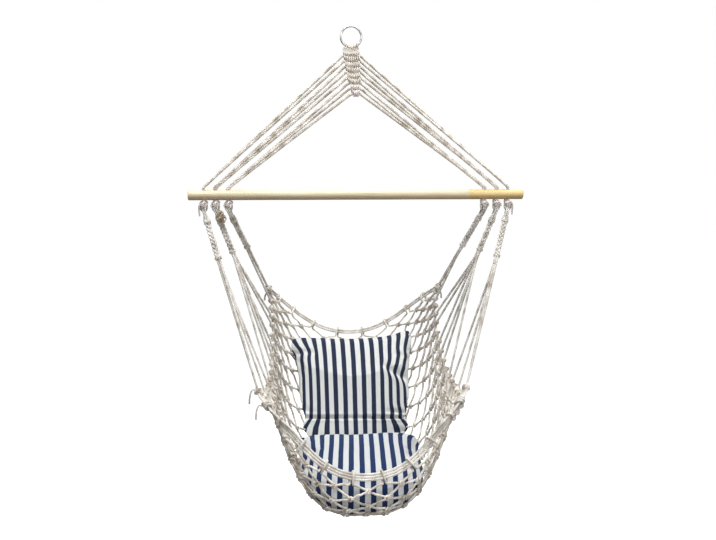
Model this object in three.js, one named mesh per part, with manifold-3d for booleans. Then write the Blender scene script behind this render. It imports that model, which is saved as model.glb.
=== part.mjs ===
// A hanging hammock chair: a steel ring, a woven cord crown, a round wooden spreader bar,
// six plaited legs, a knotted rope net between two rope rims, and two loose striped cushions.
// Millimetres. The ring's inner top is the origin, +Z is up and the sitter faces -Y.
import * as THREE from 'three';
import { mergeVertices } from 'three/addons/utils/BufferGeometryUtils.js';
import Module from 'manifold-3d';

const wasm = await Module();
wasm.setup();

// Clearances
const seatGap = 0.3;        // between pieces that rest on each other
const ropeGap = 0.5;        // between ropes that lie side by side
const overrun = 2;          // by which every cutting body passes what it cuts
const swingAngle = THREE.MathUtils.degToRad(20);   // each way, at the ring and under the bar

// Steel ring
const ringOuterDiameter = 66;
const ringWire = 6;
const ringTurns = 36;
const ringSides = 8;

// Cords
const cordDiameter = 6;
const cordSides = 6;
const thinCordSides = 5;

// Crown
const loopCount = 8;
const loopCord = 4.6;
const loopPitch = 5;
const loopPlay = 1.4;       // extra height of a loop that sits where the ring's wire rises
const loopRoom = 0.7;       // between the ring's wire and the sides of a loop
const loopSteps = 8;
const crownLength = 128;
const crownTopWidth = 50;
const crownBottomWidth = 30;
const crownThickness = 20;
const crownLean = 18;       // sideways shift of the crown's lower end
const bandWall = 3.6;
const bandGap = 0.8;
const bandRounding = 2.4;
const bandCorner = 4;
const weaveRows = 8;
const crownNeck = 3.6;      // from the ring's wire centre down to the top of the crown's core
const loopRun = 6;          // in which the loops draw together above the first band

// Spreader bar
const barLength = 1000;
const barDiameter = 30;
const barDrop = 486;        // from the origin to the bar's axis
const barShift = 20;        // sideways shift of the bar and of all that hangs on it
const barSides = 20;
const barEdge = 2;          // chamfer round each cut end
const holeDiameter = 14;
const holeSides = 14;
const holeInsets = { front: 45, middle: 80, back: 118 };   // from the bar's end
const holeCordCounts = { front: 2, middle: 3, back: 3 };
const plugRise = 3;         // the bundled cords stand this high above the bar

// Knots under the bar, and the loop that each leg hangs from
const knotDiameter = 21;
const knotHeight = 15;
const bightHalfWidth = 9;
const bightDrop = 15;       // from the knot's foot to the axis of the loop's lowest stretch
const knotTails = { front: 38, middle: 12, back: 12 };
const bendSteps = 12;       // stretches in each turned-back cord
const tailDiameter = 5;
const tailSteps = 3;

// Plaited legs, measured along each leg from the axis that its eye hangs on
const eyeClearance = 0.9;
const eyeLength = 38;
const plaitHead = 2;        // by which a plait stands above its upper whipping
const plaitWidth = 18;
const plaitThickness = 13;
const plaitSides = 8;
const plaitEnds = { front: 150, middle: 132, back: 140 };
const whippingLength = 10;
const whippingWall = 1.8;
const bundleLength = 9;     // of the gathered cords below a plait
const fanCord = 4.6;

// Sling: where its rims and corners hang, measured down from the bar's axis
const backRimDrop = 487;
const backRimReach = 290;
const pocketDrop = 908;
const pocketReach = 190;
const frontRimDrop = 777;
const frontRimReach = 335;
const backKnotDrop = 318;
const backKnotReach = 130;
const backKnotHalfWidth = 265;
const frontKnotDrop = 564;
const frontKnotReach = 200;
const frontKnotHalfWidth = 282;
const waistHalfWidth = 256;
const slingSetback = 23;    // hangs the sling this far back, so that it balances under the bar

// Control handles of the keel and of the side edges, as shares of the spans that they shape
const backHandleShares = [[0.156, 0.423], [0.646, 1]];
const pocketHandleShares = [[0.759, 0], [1.345, 0.557]];
const edgeHandleShares = [[0.09, 0.496], [0.576, 0.923]];

// How the net's cross-section rises from its middle to its edges
const rimPower = 2.2;
const pocketPower = 4.2;
const wrapPowerBack = 6;
const wrapPowerFront = 3.2;

// Net
const netRows = 28;
const netColumns = 18;
const netRowCrowding = 0.3;     // share by which rows crowd towards the rims
const netCord = 6.5;
const wallColumns = 4;          // columns of each side wall
const backRows = 11;
const pocketRows = 20;

// Rims and corner knots
const rimCord = 7;
const backRimCords = 2;
const frontRimCords = 3;
const rimSteps = 25;
const cornerKnot = 24;
const cornerTail = 40;

// Cushions
const cushionGrid = 14;
const cushionEdge = 0.4;       // roundness of a cushion's rim
const seatWidthBack = 404;
const seatWidthFront = 424;
const seatLength = 402;
const seatThickness = 146;
const seatTilt = THREE.MathUtils.degToRad(8);
const seatDrop = 829;
const seatPress = 16;           // by which the seat cushion is pressed against the back cushion
const backWidthBottom = 376;
const backWidthTop = 446;
const backLength = 402;
const backThickness = 98;
const backTilt = THREE.MathUtils.degToRad(49.5);
const backDrop = 637;
const backCentre = 139;
const backBend = 34;            // by which the back cushion's sides come forward
const seatBend = 8;
const drawnIn = 0.05;           // share by which a cushion's sides draw in between its corners
const cushionSplit = 45;        // crease where the two cushions meet, behind the bar's axis
const creaseDrop = 754;
const splitLean = THREE.MathUtils.degToRad(20);   // by which the plane between them leans back

// Colours
const cottonColour = 0xe4ded0;
const cottonShade = 0xd8d0c0;
const pineColour = 0xe6cfa2;
const steelColour = 0xc9cbce;
const navyColour = 0x34406e;

const cotton = () => new THREE.MeshStandardMaterial({ color: cottonColour, roughness: 0.9, metalness: 0 });
const twine = () => new THREE.MeshStandardMaterial({ color: cottonShade, roughness: 0.95, metalness: 0 });
const pine = () => new THREE.MeshStandardMaterial({ color: pineColour, roughness: 0.55, metalness: 0 });
const steel = () => new THREE.MeshStandardMaterial({ color: steelColour, roughness: 0.25, metalness: 1 });
const canvasCloth = () => new THREE.MeshStandardMaterial({ color: navyColour, roughness: 0.85, metalness: 0 });

// Derived places
const sides = { left: -1, right: 1 };
const legNames = ['front', 'middle', 'back'];
const ringRadius = (ringOuterDiameter - ringWire) / 2;
const ringCentreDrop = ringRadius - ringWire / 2;
const hangDrop = ringCentreDrop + ringRadius;          // axis that the crown swings about
const cordRadius = cordDiameter / 2;
const bightAxisDrop = barDiameter / 2 + seatGap + knotHeight + bightDrop;
const rowHeight = crownLength / weaveRows;
const crownTop = hangDrop + crownNeck + loopRun;       // where the bands begin

const model = new THREE.Group();

// Adds one sub-part to the model.
function addPart(name, geometry, material) {
  const mesh = new THREE.Mesh(geometry, material);
  mesh.name = name;
  model.add(mesh);
  return mesh;
}

// Turns a closed geometry into a solid for joining and cutting.
function toSolid(geometry) {
  const bare = geometry.clone();
  bare.deleteAttribute('normal');
  bare.deleteAttribute('uv');
  const welded = mergeVertices(bare, seatGap / 100);
  const triVerts = Uint32Array.from(welded.index.array);
  const vertProperties = Float32Array.from(welded.attributes.position.array);
  return new wasm.Manifold(new wasm.Mesh({ numProp: 3, vertProperties, triVerts }));
}

// Turns a solid back into a geometry.
function toGeometry(solid) {
  const mesh = solid.getMesh();
  const geometry = new THREE.BufferGeometry();
  geometry.setAttribute('position', new THREE.BufferAttribute(Float32Array.from(mesh.vertProperties), 3));
  geometry.setIndex(new THREE.BufferAttribute(Uint32Array.from(mesh.triVerts), 1));
  geometry.computeVertexNormals();
  return geometry;
}

// Joins closed geometries into one.
function join(geometries) {
  return toGeometry(geometries.map(toSolid).reduce((whole, piece) => whole.add(piece)));
}

// A regular outline, wider than deep where two radii are given.
function roundShape(radiusX, radiusY = radiusX, count = cordSides) {
  const corners = Array.from({ length: count }, (_, k) => {
    const angle = 2 * Math.PI * (k + 0.5) / count;
    return new THREE.Vector2(radiusX * Math.cos(angle), radiusY * Math.sin(angle));
  });
  return new THREE.Shape(corners);
}

// An oblong outline with rounded corners.
function slabShape(halfWidth, halfDepth, corner) {
  const shape = new THREE.Shape();
  const [x, y] = [halfWidth - corner, halfDepth - corner];
  shape.absarc(x, y, corner, 0, Math.PI / 2);
  shape.absarc(-x, y, corner, Math.PI / 2, Math.PI);
  shape.absarc(-x, -y, corner, Math.PI, 3 * Math.PI / 2);
  shape.absarc(x, -y, corner, 3 * Math.PI / 2, 2 * Math.PI);
  return shape;
}

// A cord through hand-placed points; two points make it straight.
function cordAlong(points, diameter, steps = 1, count = cordSides) {
  const path = points.length === 2
    ? new THREE.LineCurve3(points[0], points[1])
    : new THREE.CatmullRomCurve3(points, false, 'centripetal');
  return new THREE.ExtrudeGeometry(roundShape(diameter / 2, diameter / 2, count),
    { extrudePath: path, steps, bevelEnabled: false });
}

// A matrix that puts local Z along a direction, with local X as near to the world's X as it can be.
function frameAlong(origin, direction) {
  const z = direction.clone().normalize();
  const x = new THREE.Vector3(1, 0, 0).addScaledVector(z, -z.x).normalize();
  const y = new THREE.Vector3().crossVectors(z, x);
  return new THREE.Matrix4().makeBasis(x, y, z).setPosition(origin);
}

// Where a point of the model lies, given sideways, back and down from the bar's middle.
function hung(sideways, back, drop) {
  return new THREE.Vector3(barShift + sideways, back, -barDrop - drop);
}

// Steel ring
function hangingRing() {
  const ring = new THREE.TorusGeometry(ringRadius, ringWire / 2, ringSides, ringTurns);
  return ring.rotateX(Math.PI / 2).translate(0, 0, -ringCentreDrop);
}

// Height of the ring's inner face above the swing axis at a sideways distance from its middle.
function wireRise(distance) {
  const inner = ringRadius - ringWire / 2;
  return ringRadius - Math.sqrt(inner * inner - distance * distance);
}

// One cord of the crown, looped over the ring's wire with room to swing.
function crownLoop(place) {
  const outermost = Math.abs(place) + loopCord / 2;
  const wireCentreRise = ringRadius - Math.sqrt(ringRadius * ringRadius - place * place);
  const half = ringWire / 2 + loopRoom + loopCord / 2 + wireCentreRise * Math.sin(swingAngle);
  const play = loopPlay * Math.min(1, wireCentreRise / ringWire);
  const top = wireRise(outermost) + seatGap + play + loopCord / 2;
  const footHalf = crownThickness / 2 - bandWall - seatGap - loopCord / 2;
  const foot = -crownNeck - loopRun;
  const arch = [];
  for (let k = 0; k <= 6; k++) {
    const angle = Math.PI * k / 6;
    arch.push(new THREE.Vector3(place, -half * Math.cos(angle), top - half + half * Math.sin(angle)));
  }
  const feet = [-footHalf, footHalf].map((y) => new THREE.Vector3(place, y, foot));
  const points = [feet[0], ...arch, feet[1]];
  const path = new THREE.CatmullRomCurve3(points, false, 'centripetal');
  const loop = new THREE.ExtrudeGeometry(roundShape(loopCord / 2, loopCord / 2, thinCordSides),
    { extrudePath: path, steps: loopSteps, bevelEnabled: false });
  return loop.translate(0, 0, -hangDrop);
}

// Sideways place and half width of the crown at a share of its length.
const crownMiddle = (share) => crownLean * share;
const crownHalfWidth = (share) => THREE.MathUtils.lerp(crownTopWidth, crownBottomWidth, share) / 2;

// The crown's core, grown by a clearance where it cuts its bands.
function crownCore(grow) {
  const half = (share) => crownHalfWidth(share) - bandWall - seatGap + grow;
  const reach = grow > 0 ? overrun / crownLength : 0;
  const head = -(grow > 0 ? overrun : loopRun) / crownLength;
  const corners = [[head, -1], [1 + reach, -1], [1 + reach, 1], [head, 1]];
  const shape = new THREE.Shape(corners.map(([share, side]) =>
    new THREE.Vector2(crownMiddle(share) + side * half(share), -crownTop - share * crownLength)));
  const depth = crownThickness - 2 * (bandWall + seatGap - grow);
  const core = new THREE.ExtrudeGeometry(shape, { depth, bevelEnabled: false });
  return core.translate(0, 0, -depth / 2).rotateX(Math.PI / 2);
}

// One woven band: a rounded sleeve round the core.
function crownBand(row) {
  const share = (row + 0.5) / weaveRows;
  const height = rowHeight - bandGap;
  const shape = slabShape(crownHalfWidth(share) - bandRounding, crownThickness / 2 - bandRounding, bandCorner);
  const sleeve = new THREE.ExtrudeGeometry(shape, {
    depth: height - 2 * bandRounding, bevelEnabled: true, bevelSize: bandRounding,
    bevelThickness: bandRounding, bevelSegments: 1, curveSegments: 1,
  });
  sleeve.translate(crownMiddle(share), 0, -crownTop - (row + 1) * rowHeight + bandGap / 2 + bandRounding);
  return toGeometry(toSolid(sleeve).subtract(toSolid(crownCore(seatGap))));
}

function buildCrown() {
  const loops = Array.from({ length: loopCount }, (_, k) => crownLoop((k - (loopCount - 1) / 2) * loopPitch));
  addPart('crown_core', join([crownCore(0), ...loops]), cotton());
  for (let row = 0; row < weaveRows; row++) {
    addPart(`crown_band_${row + 1}`, crownBand(row), cotton());
  }
}

// Sideways place of a bar hole.
function holePlace(side, leg) {
  return sides[side] * (barLength / 2 - holeInsets[leg]);
}

// Spreader bar with its six holes.
function spreaderBar() {
  const half = barLength / 2;
  const radius = barDiameter / 2;
  const profile = [[0, -half], [radius - barEdge, -half], [radius, barEdge - half],
    [radius, half - barEdge], [radius - barEdge, half], [0, half]];
  const rod = new THREE.LatheGeometry(profile.map(([r, y]) => new THREE.Vector2(r, y)), barSides);
  rod.rotateZ(Math.PI / 2);
  let solid = toSolid(rod);
  for (const side of Object.keys(sides)) {
    for (const leg of legNames) {
      const drillRadius = holeDiameter / 2 / Math.cos(Math.PI / holeSides);
      const drill = new THREE.CylinderGeometry(drillRadius, drillRadius, barDiameter + 2 * overrun, holeSides);
      drill.rotateX(Math.PI / 2).translate(holePlace(side, leg), 0, 0);
      solid = solid.subtract(toSolid(drill));
    }
  }
  return toGeometry(solid).translate(barShift, 0, -barDrop);
}

// The cords that run from the crown's side to one hole, gathered where they pass through the bar.
function upperCords(side, leg) {
  const inFront = { front: 0, middle: holeCordCounts.front, back: holeCordCounts.front + holeCordCounts.middle };
  const firstRow = inFront[leg];
  const plugDiameter = holeDiameter - 2 * seatGap;
  const plugLength = barDiameter + plugRise;
  const plug = new THREE.CylinderGeometry(plugDiameter / 2, plugDiameter / 2, plugLength, 10);
  plug.rotateX(Math.PI / 2);
  const foot = hung(holePlace(side, leg), 0, barDiameter / 2);
  plug.translate(foot.x, foot.y, foot.z + plugLength / 2);
  const strands = Array.from({ length: holeCordCounts[leg] }, (_, k) => {
    const share = (firstRow + k + 1) / weaveRows;
    const across = (k - (holeCordCounts[leg] - 1) / 2) * cordRadius;
    const end = hung(holePlace(side, leg), across, -barDiameter / 2 - plugRise / 2);
    const start = new THREE.Vector3(crownMiddle(share), 0, -crownTop - share * crownLength);
    const slope = end.clone().sub(start).normalize();
    const clear = crownHalfWidth(share - 0.5 / weaveRows) + seatGap + cordRadius * Math.abs(slope.z);
    start.x += sides[side] * clear;
    return cordAlong([start, end], cordDiameter);
  });
  return join([plug, ...strands]);
}

// A stopper knot under the bar, with the loop that carries a leg and its cut tail.
function barKnot(side, leg) {
  const radius = knotDiameter / 2;
  const roundShares = [[0, 0], [0.7, 0], [1, 0.28], [0.92, 0.5], [0.99, 0.7], [0.62, 1], [0, 1]];
  const profile = roundShares.map(([r, down]) => new THREE.Vector2(r * radius, -down * knotHeight)).reverse();
  const knot = new THREE.LatheGeometry(profile, 10).rotateX(Math.PI / 2);
  const low = -knotHeight - bightDrop;
  const bend = bightHalfWidth - cordRadius / 2;
  const route = [[-bightHalfWidth / 2, cordDiameter - knotHeight], [-bightHalfWidth, -knotHeight],
    [-bightHalfWidth, low + cordDiameter], [-bend + cordRadius / 2, low], [0, low],
    [bend - cordRadius / 2, low], [bightHalfWidth, low + cordDiameter],
    [bightHalfWidth, -knotHeight], [bightHalfWidth / 2, cordDiameter - knotHeight]];
  const bight = cordAlong(route.map(([x, z]) => new THREE.Vector3(x, 0, z)), cordDiameter, bendSteps);
  const outward = sides[side] * (radius + tailDiameter / 2);
  const tailStart = new THREE.Vector3(0, -tailDiameter / 2, -knotHeight / 2);
  const tailBend = new THREE.Vector3(outward, -tailDiameter, -knotHeight / 2 - tailDiameter);
  const tailEnd = new THREE.Vector3(outward, -tailDiameter, -knotHeight / 2 - knotTails[leg]);
  const tail = cordAlong([tailStart, tailBend, tailEnd], tailDiameter, tailSteps, thinCordSides);
  const place = hung(holePlace(side, leg), 0, barDiameter / 2 + seatGap);
  return join([knot, bight, tail]).translate(place.x, place.y, place.z);
}

// Net surface: keel from the back rim to the front rim, and the two side edges
function keelCurve() {
  const rear = new THREE.Vector2(backRimReach, -backRimDrop);
  const low = new THREE.Vector2(-pocketReach, -pocketDrop);
  const front = new THREE.Vector2(-frontRimReach, -frontRimDrop);
  const handle = (from, to, [y, z]) => {
    return new THREE.Vector2(from.x + (to.x - from.x) * y, from.y + (to.y - from.y) * z);
  };
  const keel = new THREE.CurvePath();
  const addBend = (from, to, shares) => {
    const [near, far] = shares.map((share) => handle(from, to, share));
    keel.add(new THREE.CubicBezierCurve(from, near, far, to));
  };
  addBend(rear, low, backHandleShares);
  addBend(low, front, pocketHandleShares);
  return keel;
}

function edgeCurve() {
  const rear = new THREE.Vector3(backKnotHalfWidth, backKnotReach, -backKnotDrop);
  const front = new THREE.Vector3(frontKnotHalfWidth, -frontKnotReach, -frontKnotDrop);
  const handle = ([y, z]) => new THREE.Vector3(waistHalfWidth,
    rear.y + (front.y - rear.y) * y, rear.z + (front.z - rear.z) * z);
  return new THREE.CubicBezierCurve3(rear, handle(edgeHandleShares[0]), handle(edgeHandleShares[1]), front);
}

const keel = keelCurve();
const edge = edgeCurve();

// One cross-section of the net, from its middle to its edge, at a share of the way to the front.
class Rib extends THREE.Curve {
  constructor(share) {
    super();
    this.middle = keel.getPoint(share);
    this.edge = edge.getPointAt(share);
    this.power = rimPower + (pocketPower - rimPower) * Math.sin(Math.PI * share);
    this.wrapPower = THREE.MathUtils.lerp(wrapPowerBack, wrapPowerFront, share);
  }

  getPoint(t) {
    const rise = Math.pow(t, this.power);
    const wrap = Math.pow(t, this.wrapPower);
    return new THREE.Vector3(this.edge.x * t,
      this.middle.x + (this.edge.y - this.middle.x) * wrap,
      this.middle.y + (this.edge.z - this.middle.y) * rise);
  }
}

// Share of the way to the front at which a net row lies: rows crowd towards both rims.
function rowShare(row) {
  const share = row / netRows;
  return share - netRowCrowding * Math.sin(2 * Math.PI * share) / (2 * Math.PI);
}

// Every grid point of the net, by row and column.
function netGrid() {
  const grid = [];
  for (let row = 0; row <= netRows; row++) {
    const half = new Rib(rowShare(row)).getSpacedPoints(netColumns / 2);
    const mirrored = half.slice(1).reverse().map((p) => new THREE.Vector3(-p.x, p.y, p.z));
    grid.push([...mirrored, ...half].map((p) => hung(p.x, p.y + slingSetback, -p.z)));
  }
  return grid;
}

const grid = netGrid();

// Directions at a grid point: across the net, towards the front, and into the sitting space.
function netFrame(row, column) {
  const pick = (r, c) => grid[THREE.MathUtils.clamp(r, 0, netRows)][THREE.MathUtils.clamp(c, 0, netColumns)];
  const across = pick(row, column + 1).clone().sub(pick(row, column - 1)).normalize();
  const ahead = pick(row + 1, column).clone().sub(pick(row - 1, column)).normalize();
  const inward = new THREE.Vector3().crossVectors(ahead, across).normalize();
  ahead.crossVectors(across, inward).normalize();
  return { across, ahead, inward };
}

const isKnot = (row, column) => (row + column) % 2 === 0;
const knotReach = netCord / Math.SQRT2;

// Corners of a net knot: right, front, left and rear of it, on the inner face and on the outer one.
function knotCorners(row, column) {
  const { across, ahead, inward } = netFrame(row, column);
  const corner = (direction, reach, height) =>
    grid[row][column].clone().addScaledVector(direction, reach).addScaledVector(inward, height);
  const ring = (height) => [corner(across, knotReach, height), corner(ahead, knotReach, height),
    corner(across, -knotReach, height), corner(ahead, -knotReach, height)];
  return { inner: ring(netCord / 2), outer: ring(-netCord / 2) };
}

// Name of the panel that a net knot belongs to.
function panelOf(row, column) {
  if (column < wallColumns) return 'net_left_wall';
  if (column > netColumns - wallColumns) return 'net_right_wall';
  if (row <= backRows) return 'net_back';
  return row <= pocketRows ? 'net_seat' : 'net_front';
}

// The four sides of a knot: the corners that it spans, and the step to the knot it faces.
const knotSides = [
  { from: 0, to: 1, far: [3, 2], step: [1, 1] },
  { from: 1, to: 2, far: [0, 3], step: [1, -1] },
  { from: 2, to: 3, far: [1, 0], step: [-1, -1] },
  { from: 3, to: 0, far: [2, 1], step: [-1, 1] },
];

// One panel of the net: knots joined by straight cords, cut short where the next panel begins.
function netPanel(name) {
  const positions = [];
  const index = [];
  const known = new Map();
  const addPoint = (point) => positions.push(point.x, point.y, point.z) / 3 - 1;
  const addQuad = (a, b, c, d) => index.push(a, c, b, a, d, c);
  const knotAt = (row, column) => {
    const key = row * (netColumns + 1) + column;
    if (!known.has(key)) {
      const { inner, outer } = knotCorners(row, column);
      known.set(key, { inner: inner.map(addPoint), outer: outer.map(addPoint) });
    }
    return known.get(key);
  };
  const exists = (row, column) => row >= 0 && row <= netRows && column >= 0 && column <= netColumns;
  const addCord = (row, column, { from, to, far, step }) => {
    const here = knotAt(row, column);
    const ends = [here.inner[from], here.outer[from], here.outer[to], here.inner[to]];
    const [farRow, farColumn] = [row + step[0], column + step[1]];
    if (!exists(farRow, farColumn)) {
      addQuad(...ends);
    } else if (panelOf(farRow, farColumn) === name) {
      if (step[0] < 0) return;
      const there = knotAt(farRow, farColumn);
      const others = [there.inner[far[0]], there.outer[far[0]], there.outer[far[1]], there.inner[far[1]]];
      ends.forEach((_, k) => addQuad(ends[k], ends[(k + 1) % 4], others[(k + 1) % 4], others[k]));
    } else {
      const corners = knotCorners(row, column);
      const next = knotCorners(farRow, farColumn);
      const near = [corners.inner[from], corners.outer[from], corners.outer[to], corners.inner[to]];
      const beyond = [next.inner[far[0]], next.outer[far[0]], next.outer[far[1]], next.inner[far[1]]];
      const stops = near.map((p, k) => {
        const share = 0.5 - seatGap / 2 / p.distanceTo(beyond[k]);
        return addPoint(p.clone().lerp(beyond[k], share));
      });
      ends.forEach((_, k) => addQuad(ends[k], ends[(k + 1) % 4], stops[(k + 1) % 4], stops[k]));
      addQuad(...stops);
    }
  };
  for (let row = 0; row <= netRows; row++) {
    for (let column = 0; column <= netColumns; column++) {
      if (!isKnot(row, column) || panelOf(row, column) !== name) continue;
      const { inner, outer } = knotAt(row, column);
      addQuad(...inner);
      addQuad(...outer.slice().reverse());
      knotSides.forEach((side) => addCord(row, column, side));
    }
  }
  const geometry = new THREE.BufferGeometry();
  geometry.setAttribute('position', new THREE.Float32BufferAttribute(positions, 3));
  geometry.setIndex(index);
  geometry.computeVertexNormals();
  return geometry;
}

// The space inside the net, a clearance away from its cords, open upwards as far as a lid above it.
function pocketSpace() {
  const positions = [];
  const index = [];
  const columns = netColumns + 1;
  const lid = grid[0][0].z + backRimReach;
  const lift = netCord / 2 + seatGap;
  const middle = (row, column) => {
    const around = [[1, 0], [-1, 0], [0, 1], [0, -1]]
      .map(([r, c]) => grid[row + r]?.[column + c]).filter((p) => p !== undefined);
    return around.reduce((sum, p) => sum.add(p), new THREE.Vector3()).divideScalar(around.length);
  };
  for (let row = 0; row <= netRows; row++) {
    for (let column = 0; column <= netColumns; column++) {
      const knot = isKnot(row, column);
      const base = knot ? grid[row][column].clone() : middle(row, column);
      base.addScaledVector(netFrame(row, column).inward, knot ? lift : lift + ropeGap * 2);
      positions.push(base.x, base.y, base.z);
    }
  }
  const at = (row, column) => row * columns + column;
  for (let row = 0; row < netRows; row++) {
    for (let column = 0; column < netColumns; column++) {
      const [a, b] = [at(row, column), at(row, column + 1)];
      const [c, d] = [at(row + 1, column + 1), at(row + 1, column)];
      if (isKnot(row, column)) index.push(a, b, c, a, c, d);
      else index.push(a, b, d, b, c, d);
    }
  }
  const rim = [];
  for (let column = 0; column < netColumns; column++) rim.push(at(0, column));
  for (let row = 0; row < netRows; row++) rim.push(at(row, netColumns));
  for (let column = netColumns; column > 0; column--) rim.push(at(netRows, column));
  for (let row = netRows; row > 0; row--) rim.push(at(row, 0));
  const topOf = rim.map((k) => positions.push(positions[3 * k], positions[3 * k + 1], lid) / 3 - 1);
  const centre = positions.push(barShift, 0, lid) / 3 - 1;
  rim.forEach((k, n) => {
    const m = (n + 1) % rim.length;
    index.push(rim[m], k, topOf[n], rim[m], topOf[n], topOf[m]);
    index.push(topOf[m], topOf[n], centre);
  });
  const geometry = new THREE.BufferGeometry();
  geometry.setAttribute('position', new THREE.Float32BufferAttribute(positions, 3));
  geometry.setIndex(index);
  return geometry;
}

// Rims and their corner knots
const rearRow = { name: 'back_rim', row: 0, outward: -1, cords: backRimCords };
const frontRow = { name: 'front_rim', row: netRows, outward: 1, cords: frontRimCords };

// How far the middle of one of a rim's cords lies beyond the net's last row.
const rimOffset = (cord) => knotReach + ropeGap + rimCord / 2 + cord * (rimCord + ropeGap);

// Centre of the knot at a rim's end, above the net's corner.
function cornerPlace(rim, side) {
  const column = sides[side] < 0 ? 0 : netColumns;
  const { across, ahead } = netFrame(rim.row, column);
  const reach = rim.outward * rimOffset((rim.cords - 1) / 2);
  return grid[rim.row][column].clone().addScaledVector(ahead, reach)
    .addScaledVector(across, sides[side] * (cornerKnot / 2 + knotReach));
}

// Directions of the cut tails at the corner knots: sideways, back and up.
const tailShares = { front_rim: [[0.5, -0.25, -0.83]], back_rim: [[0.42, 0.3, -0.86], [0.3, 0.6, 0.2]] };

function rimRope(rim) {
  const pieces = [];
  const corners = { left: cornerPlace(rim, 'left'), right: cornerPlace(rim, 'right') };
  for (let cord = 0; cord < rim.cords; cord++) {
    const route = grid[rim.row].map((point, column) =>
      point.clone().addScaledVector(netFrame(rim.row, column).ahead, rim.outward * rimOffset(cord)));
    pieces.push(cordAlong([corners.left, ...route, corners.right], rimCord, rimSteps));
  }
  for (const side of Object.keys(sides)) {
    pieces.push(new THREE.IcosahedronGeometry(cornerKnot / 2, 1).translate(...corners[side].toArray()));
    for (const [sideways, back, rise] of tailShares[rim.name]) {
      const run = new THREE.Vector3(sides[side] * sideways, back, rise).normalize();
      const end = corners[side].clone().addScaledVector(run, cornerKnot / 2 + cornerTail * Math.abs(rise));
      pieces.push(cordAlong([corners[side], end], tailDiameter, 1, thinCordSides));
    }
  }
  return join(pieces);
}

// Where each leg's cords reach the net's side edge, as shares of its rows; a corner knot takes the rest.
const fanRowShares = { front: [0.8, 0.9], middle: [0.2, 0.3, 0.4, 0.5, 0.6, 0.7], back: [0.1] };
const cornerCordCounts = { front: 2, middle: 0, back: 2 };
const fanRows = (leg) => fanRowShares[leg].map((share) => 2 * Math.round(share * netRows / 2));

// The point that a leg pulls towards.
function legTarget(side, leg) {
  if (leg === 'front') return cornerPlace(frontRow, side);
  if (leg === 'back') return cornerPlace(rearRow, side);
  const column = sides[side] < 0 ? 0 : netColumns;
  const reached = fanRows('middle').map((row) => grid[row][column]);
  return reached.reduce((sum, p) => sum.add(p), new THREE.Vector3()).divideScalar(reached.length);
}

// A frame at the top of a leg: Z runs up the leg, X lies across it.
function legFrame(side, leg) {
  const top = hung(holePlace(side, leg), 0, bightAxisDrop);
  return frameAlong(top, top.clone().sub(legTarget(side, leg)));
}

// The eye that hangs on a bar knot's loop, and the plait below it.
function plaitedLeg(side, leg) {
  const frame = legFrame(side, leg);
  const lean = frame.elements[0];
  const radius = (cordDiameter + eyeClearance) / lean;
  const diagonal = radius * Math.SQRT1_2;
  const plaitTop = eyeLength - whippingLength / 2 - plaitHead;
  const foot = cordRadius + seatGap / 2;
  const footPoint = [-foot, -plaitTop - cordRadius / 4];
  const half = [footPoint, [-radius, -2 * radius], [-radius, 0], [-diagonal, diagonal]];
  const route = [...half, [0, radius], ...half.slice().reverse().map(([y, z]) => [-y, z])];
  const eye = cordAlong(route.map(([y, z]) => new THREE.Vector3(0, y, z)), cordDiameter, bendSteps);
  const plait = new THREE.ExtrudeGeometry(roundShape(plaitWidth / 2, plaitThickness / 2, plaitSides),
    { depth: plaitEnds[leg] - plaitTop, bevelEnabled: false }).translate(0, 0, -plaitEnds[leg]);
  return join([eye, plait]).applyMatrix4(frame);
}

// A binding of thin twine round the plait, centred at a distance down the leg.
function whipping(side, leg, distance) {
  const grow = seatGap + whippingWall;
  const shape = roundShape(plaitWidth / 2 + grow, plaitThickness / 2 + grow, plaitSides);
  const bore = roundShape(plaitWidth / 2 + seatGap, plaitThickness / 2 + seatGap, plaitSides);
  shape.holes.push(new THREE.Path(bore.getPoints()));
  const band = new THREE.ExtrudeGeometry(shape, { depth: whippingLength, bevelEnabled: false });
  return band.translate(0, 0, -distance - whippingLength / 2).applyMatrix4(legFrame(side, leg));
}

// The cords that spread from a plait to the net's side edge.
function legFan(side, leg) {
  const frame = legFrame(side, leg);
  const bundle = new THREE.ExtrudeGeometry(roundShape(plaitWidth / 2, plaitThickness / 2, plaitSides),
    { depth: bundleLength, bevelEnabled: false });
  bundle.translate(0, 0, -plaitEnds[leg] - seatGap - bundleLength).applyMatrix4(frame);
  const column = sides[side] < 0 ? 0 : netColumns;
  const ends = fanRows(leg).map((row) => {
    const { across } = netFrame(row, column);
    return { point: grid[row][column], stop: (slope) => knotReach + seatGap
      + fanCord / 2 * Math.sqrt(Math.max(0, 1 - slope.dot(across) ** 2)) };
  });
  const corner = { point: legTarget(side, leg), stop: () => cornerKnot / 2 + seatGap };
  for (let k = 0; k < cornerCordCounts[leg]; k++) {
    if (leg === 'back') ends.unshift(corner);
    else ends.push(corner);
  }
  const spread = (plaitThickness - fanCord) / 2;
  const depth = -plaitEnds[leg] - seatGap - whippingLength / 2 - fanCord / 2;
  const strands = ends.map(({ point, stop }, k) => {
    const place = ends.length > 1 ? 1 - 2 * k / (ends.length - 1) : 0;
    const start = new THREE.Vector3(0, place * spread, depth).applyMatrix4(frame);
    const slope = point.clone().sub(start).normalize();
    const end = point.clone().addScaledVector(slope, -stop(slope));
    if (point === corner.point) {
      const shift = new THREE.Vector3(0, place * fanCord, 0);
      end.add(shift).addScaledVector(slope, -shift.dot(slope));
    }
    return cordAlong([start, end], fanCord, 1, thinCordSides);
  });
  return join([bundle, ...strands]);
}

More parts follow.
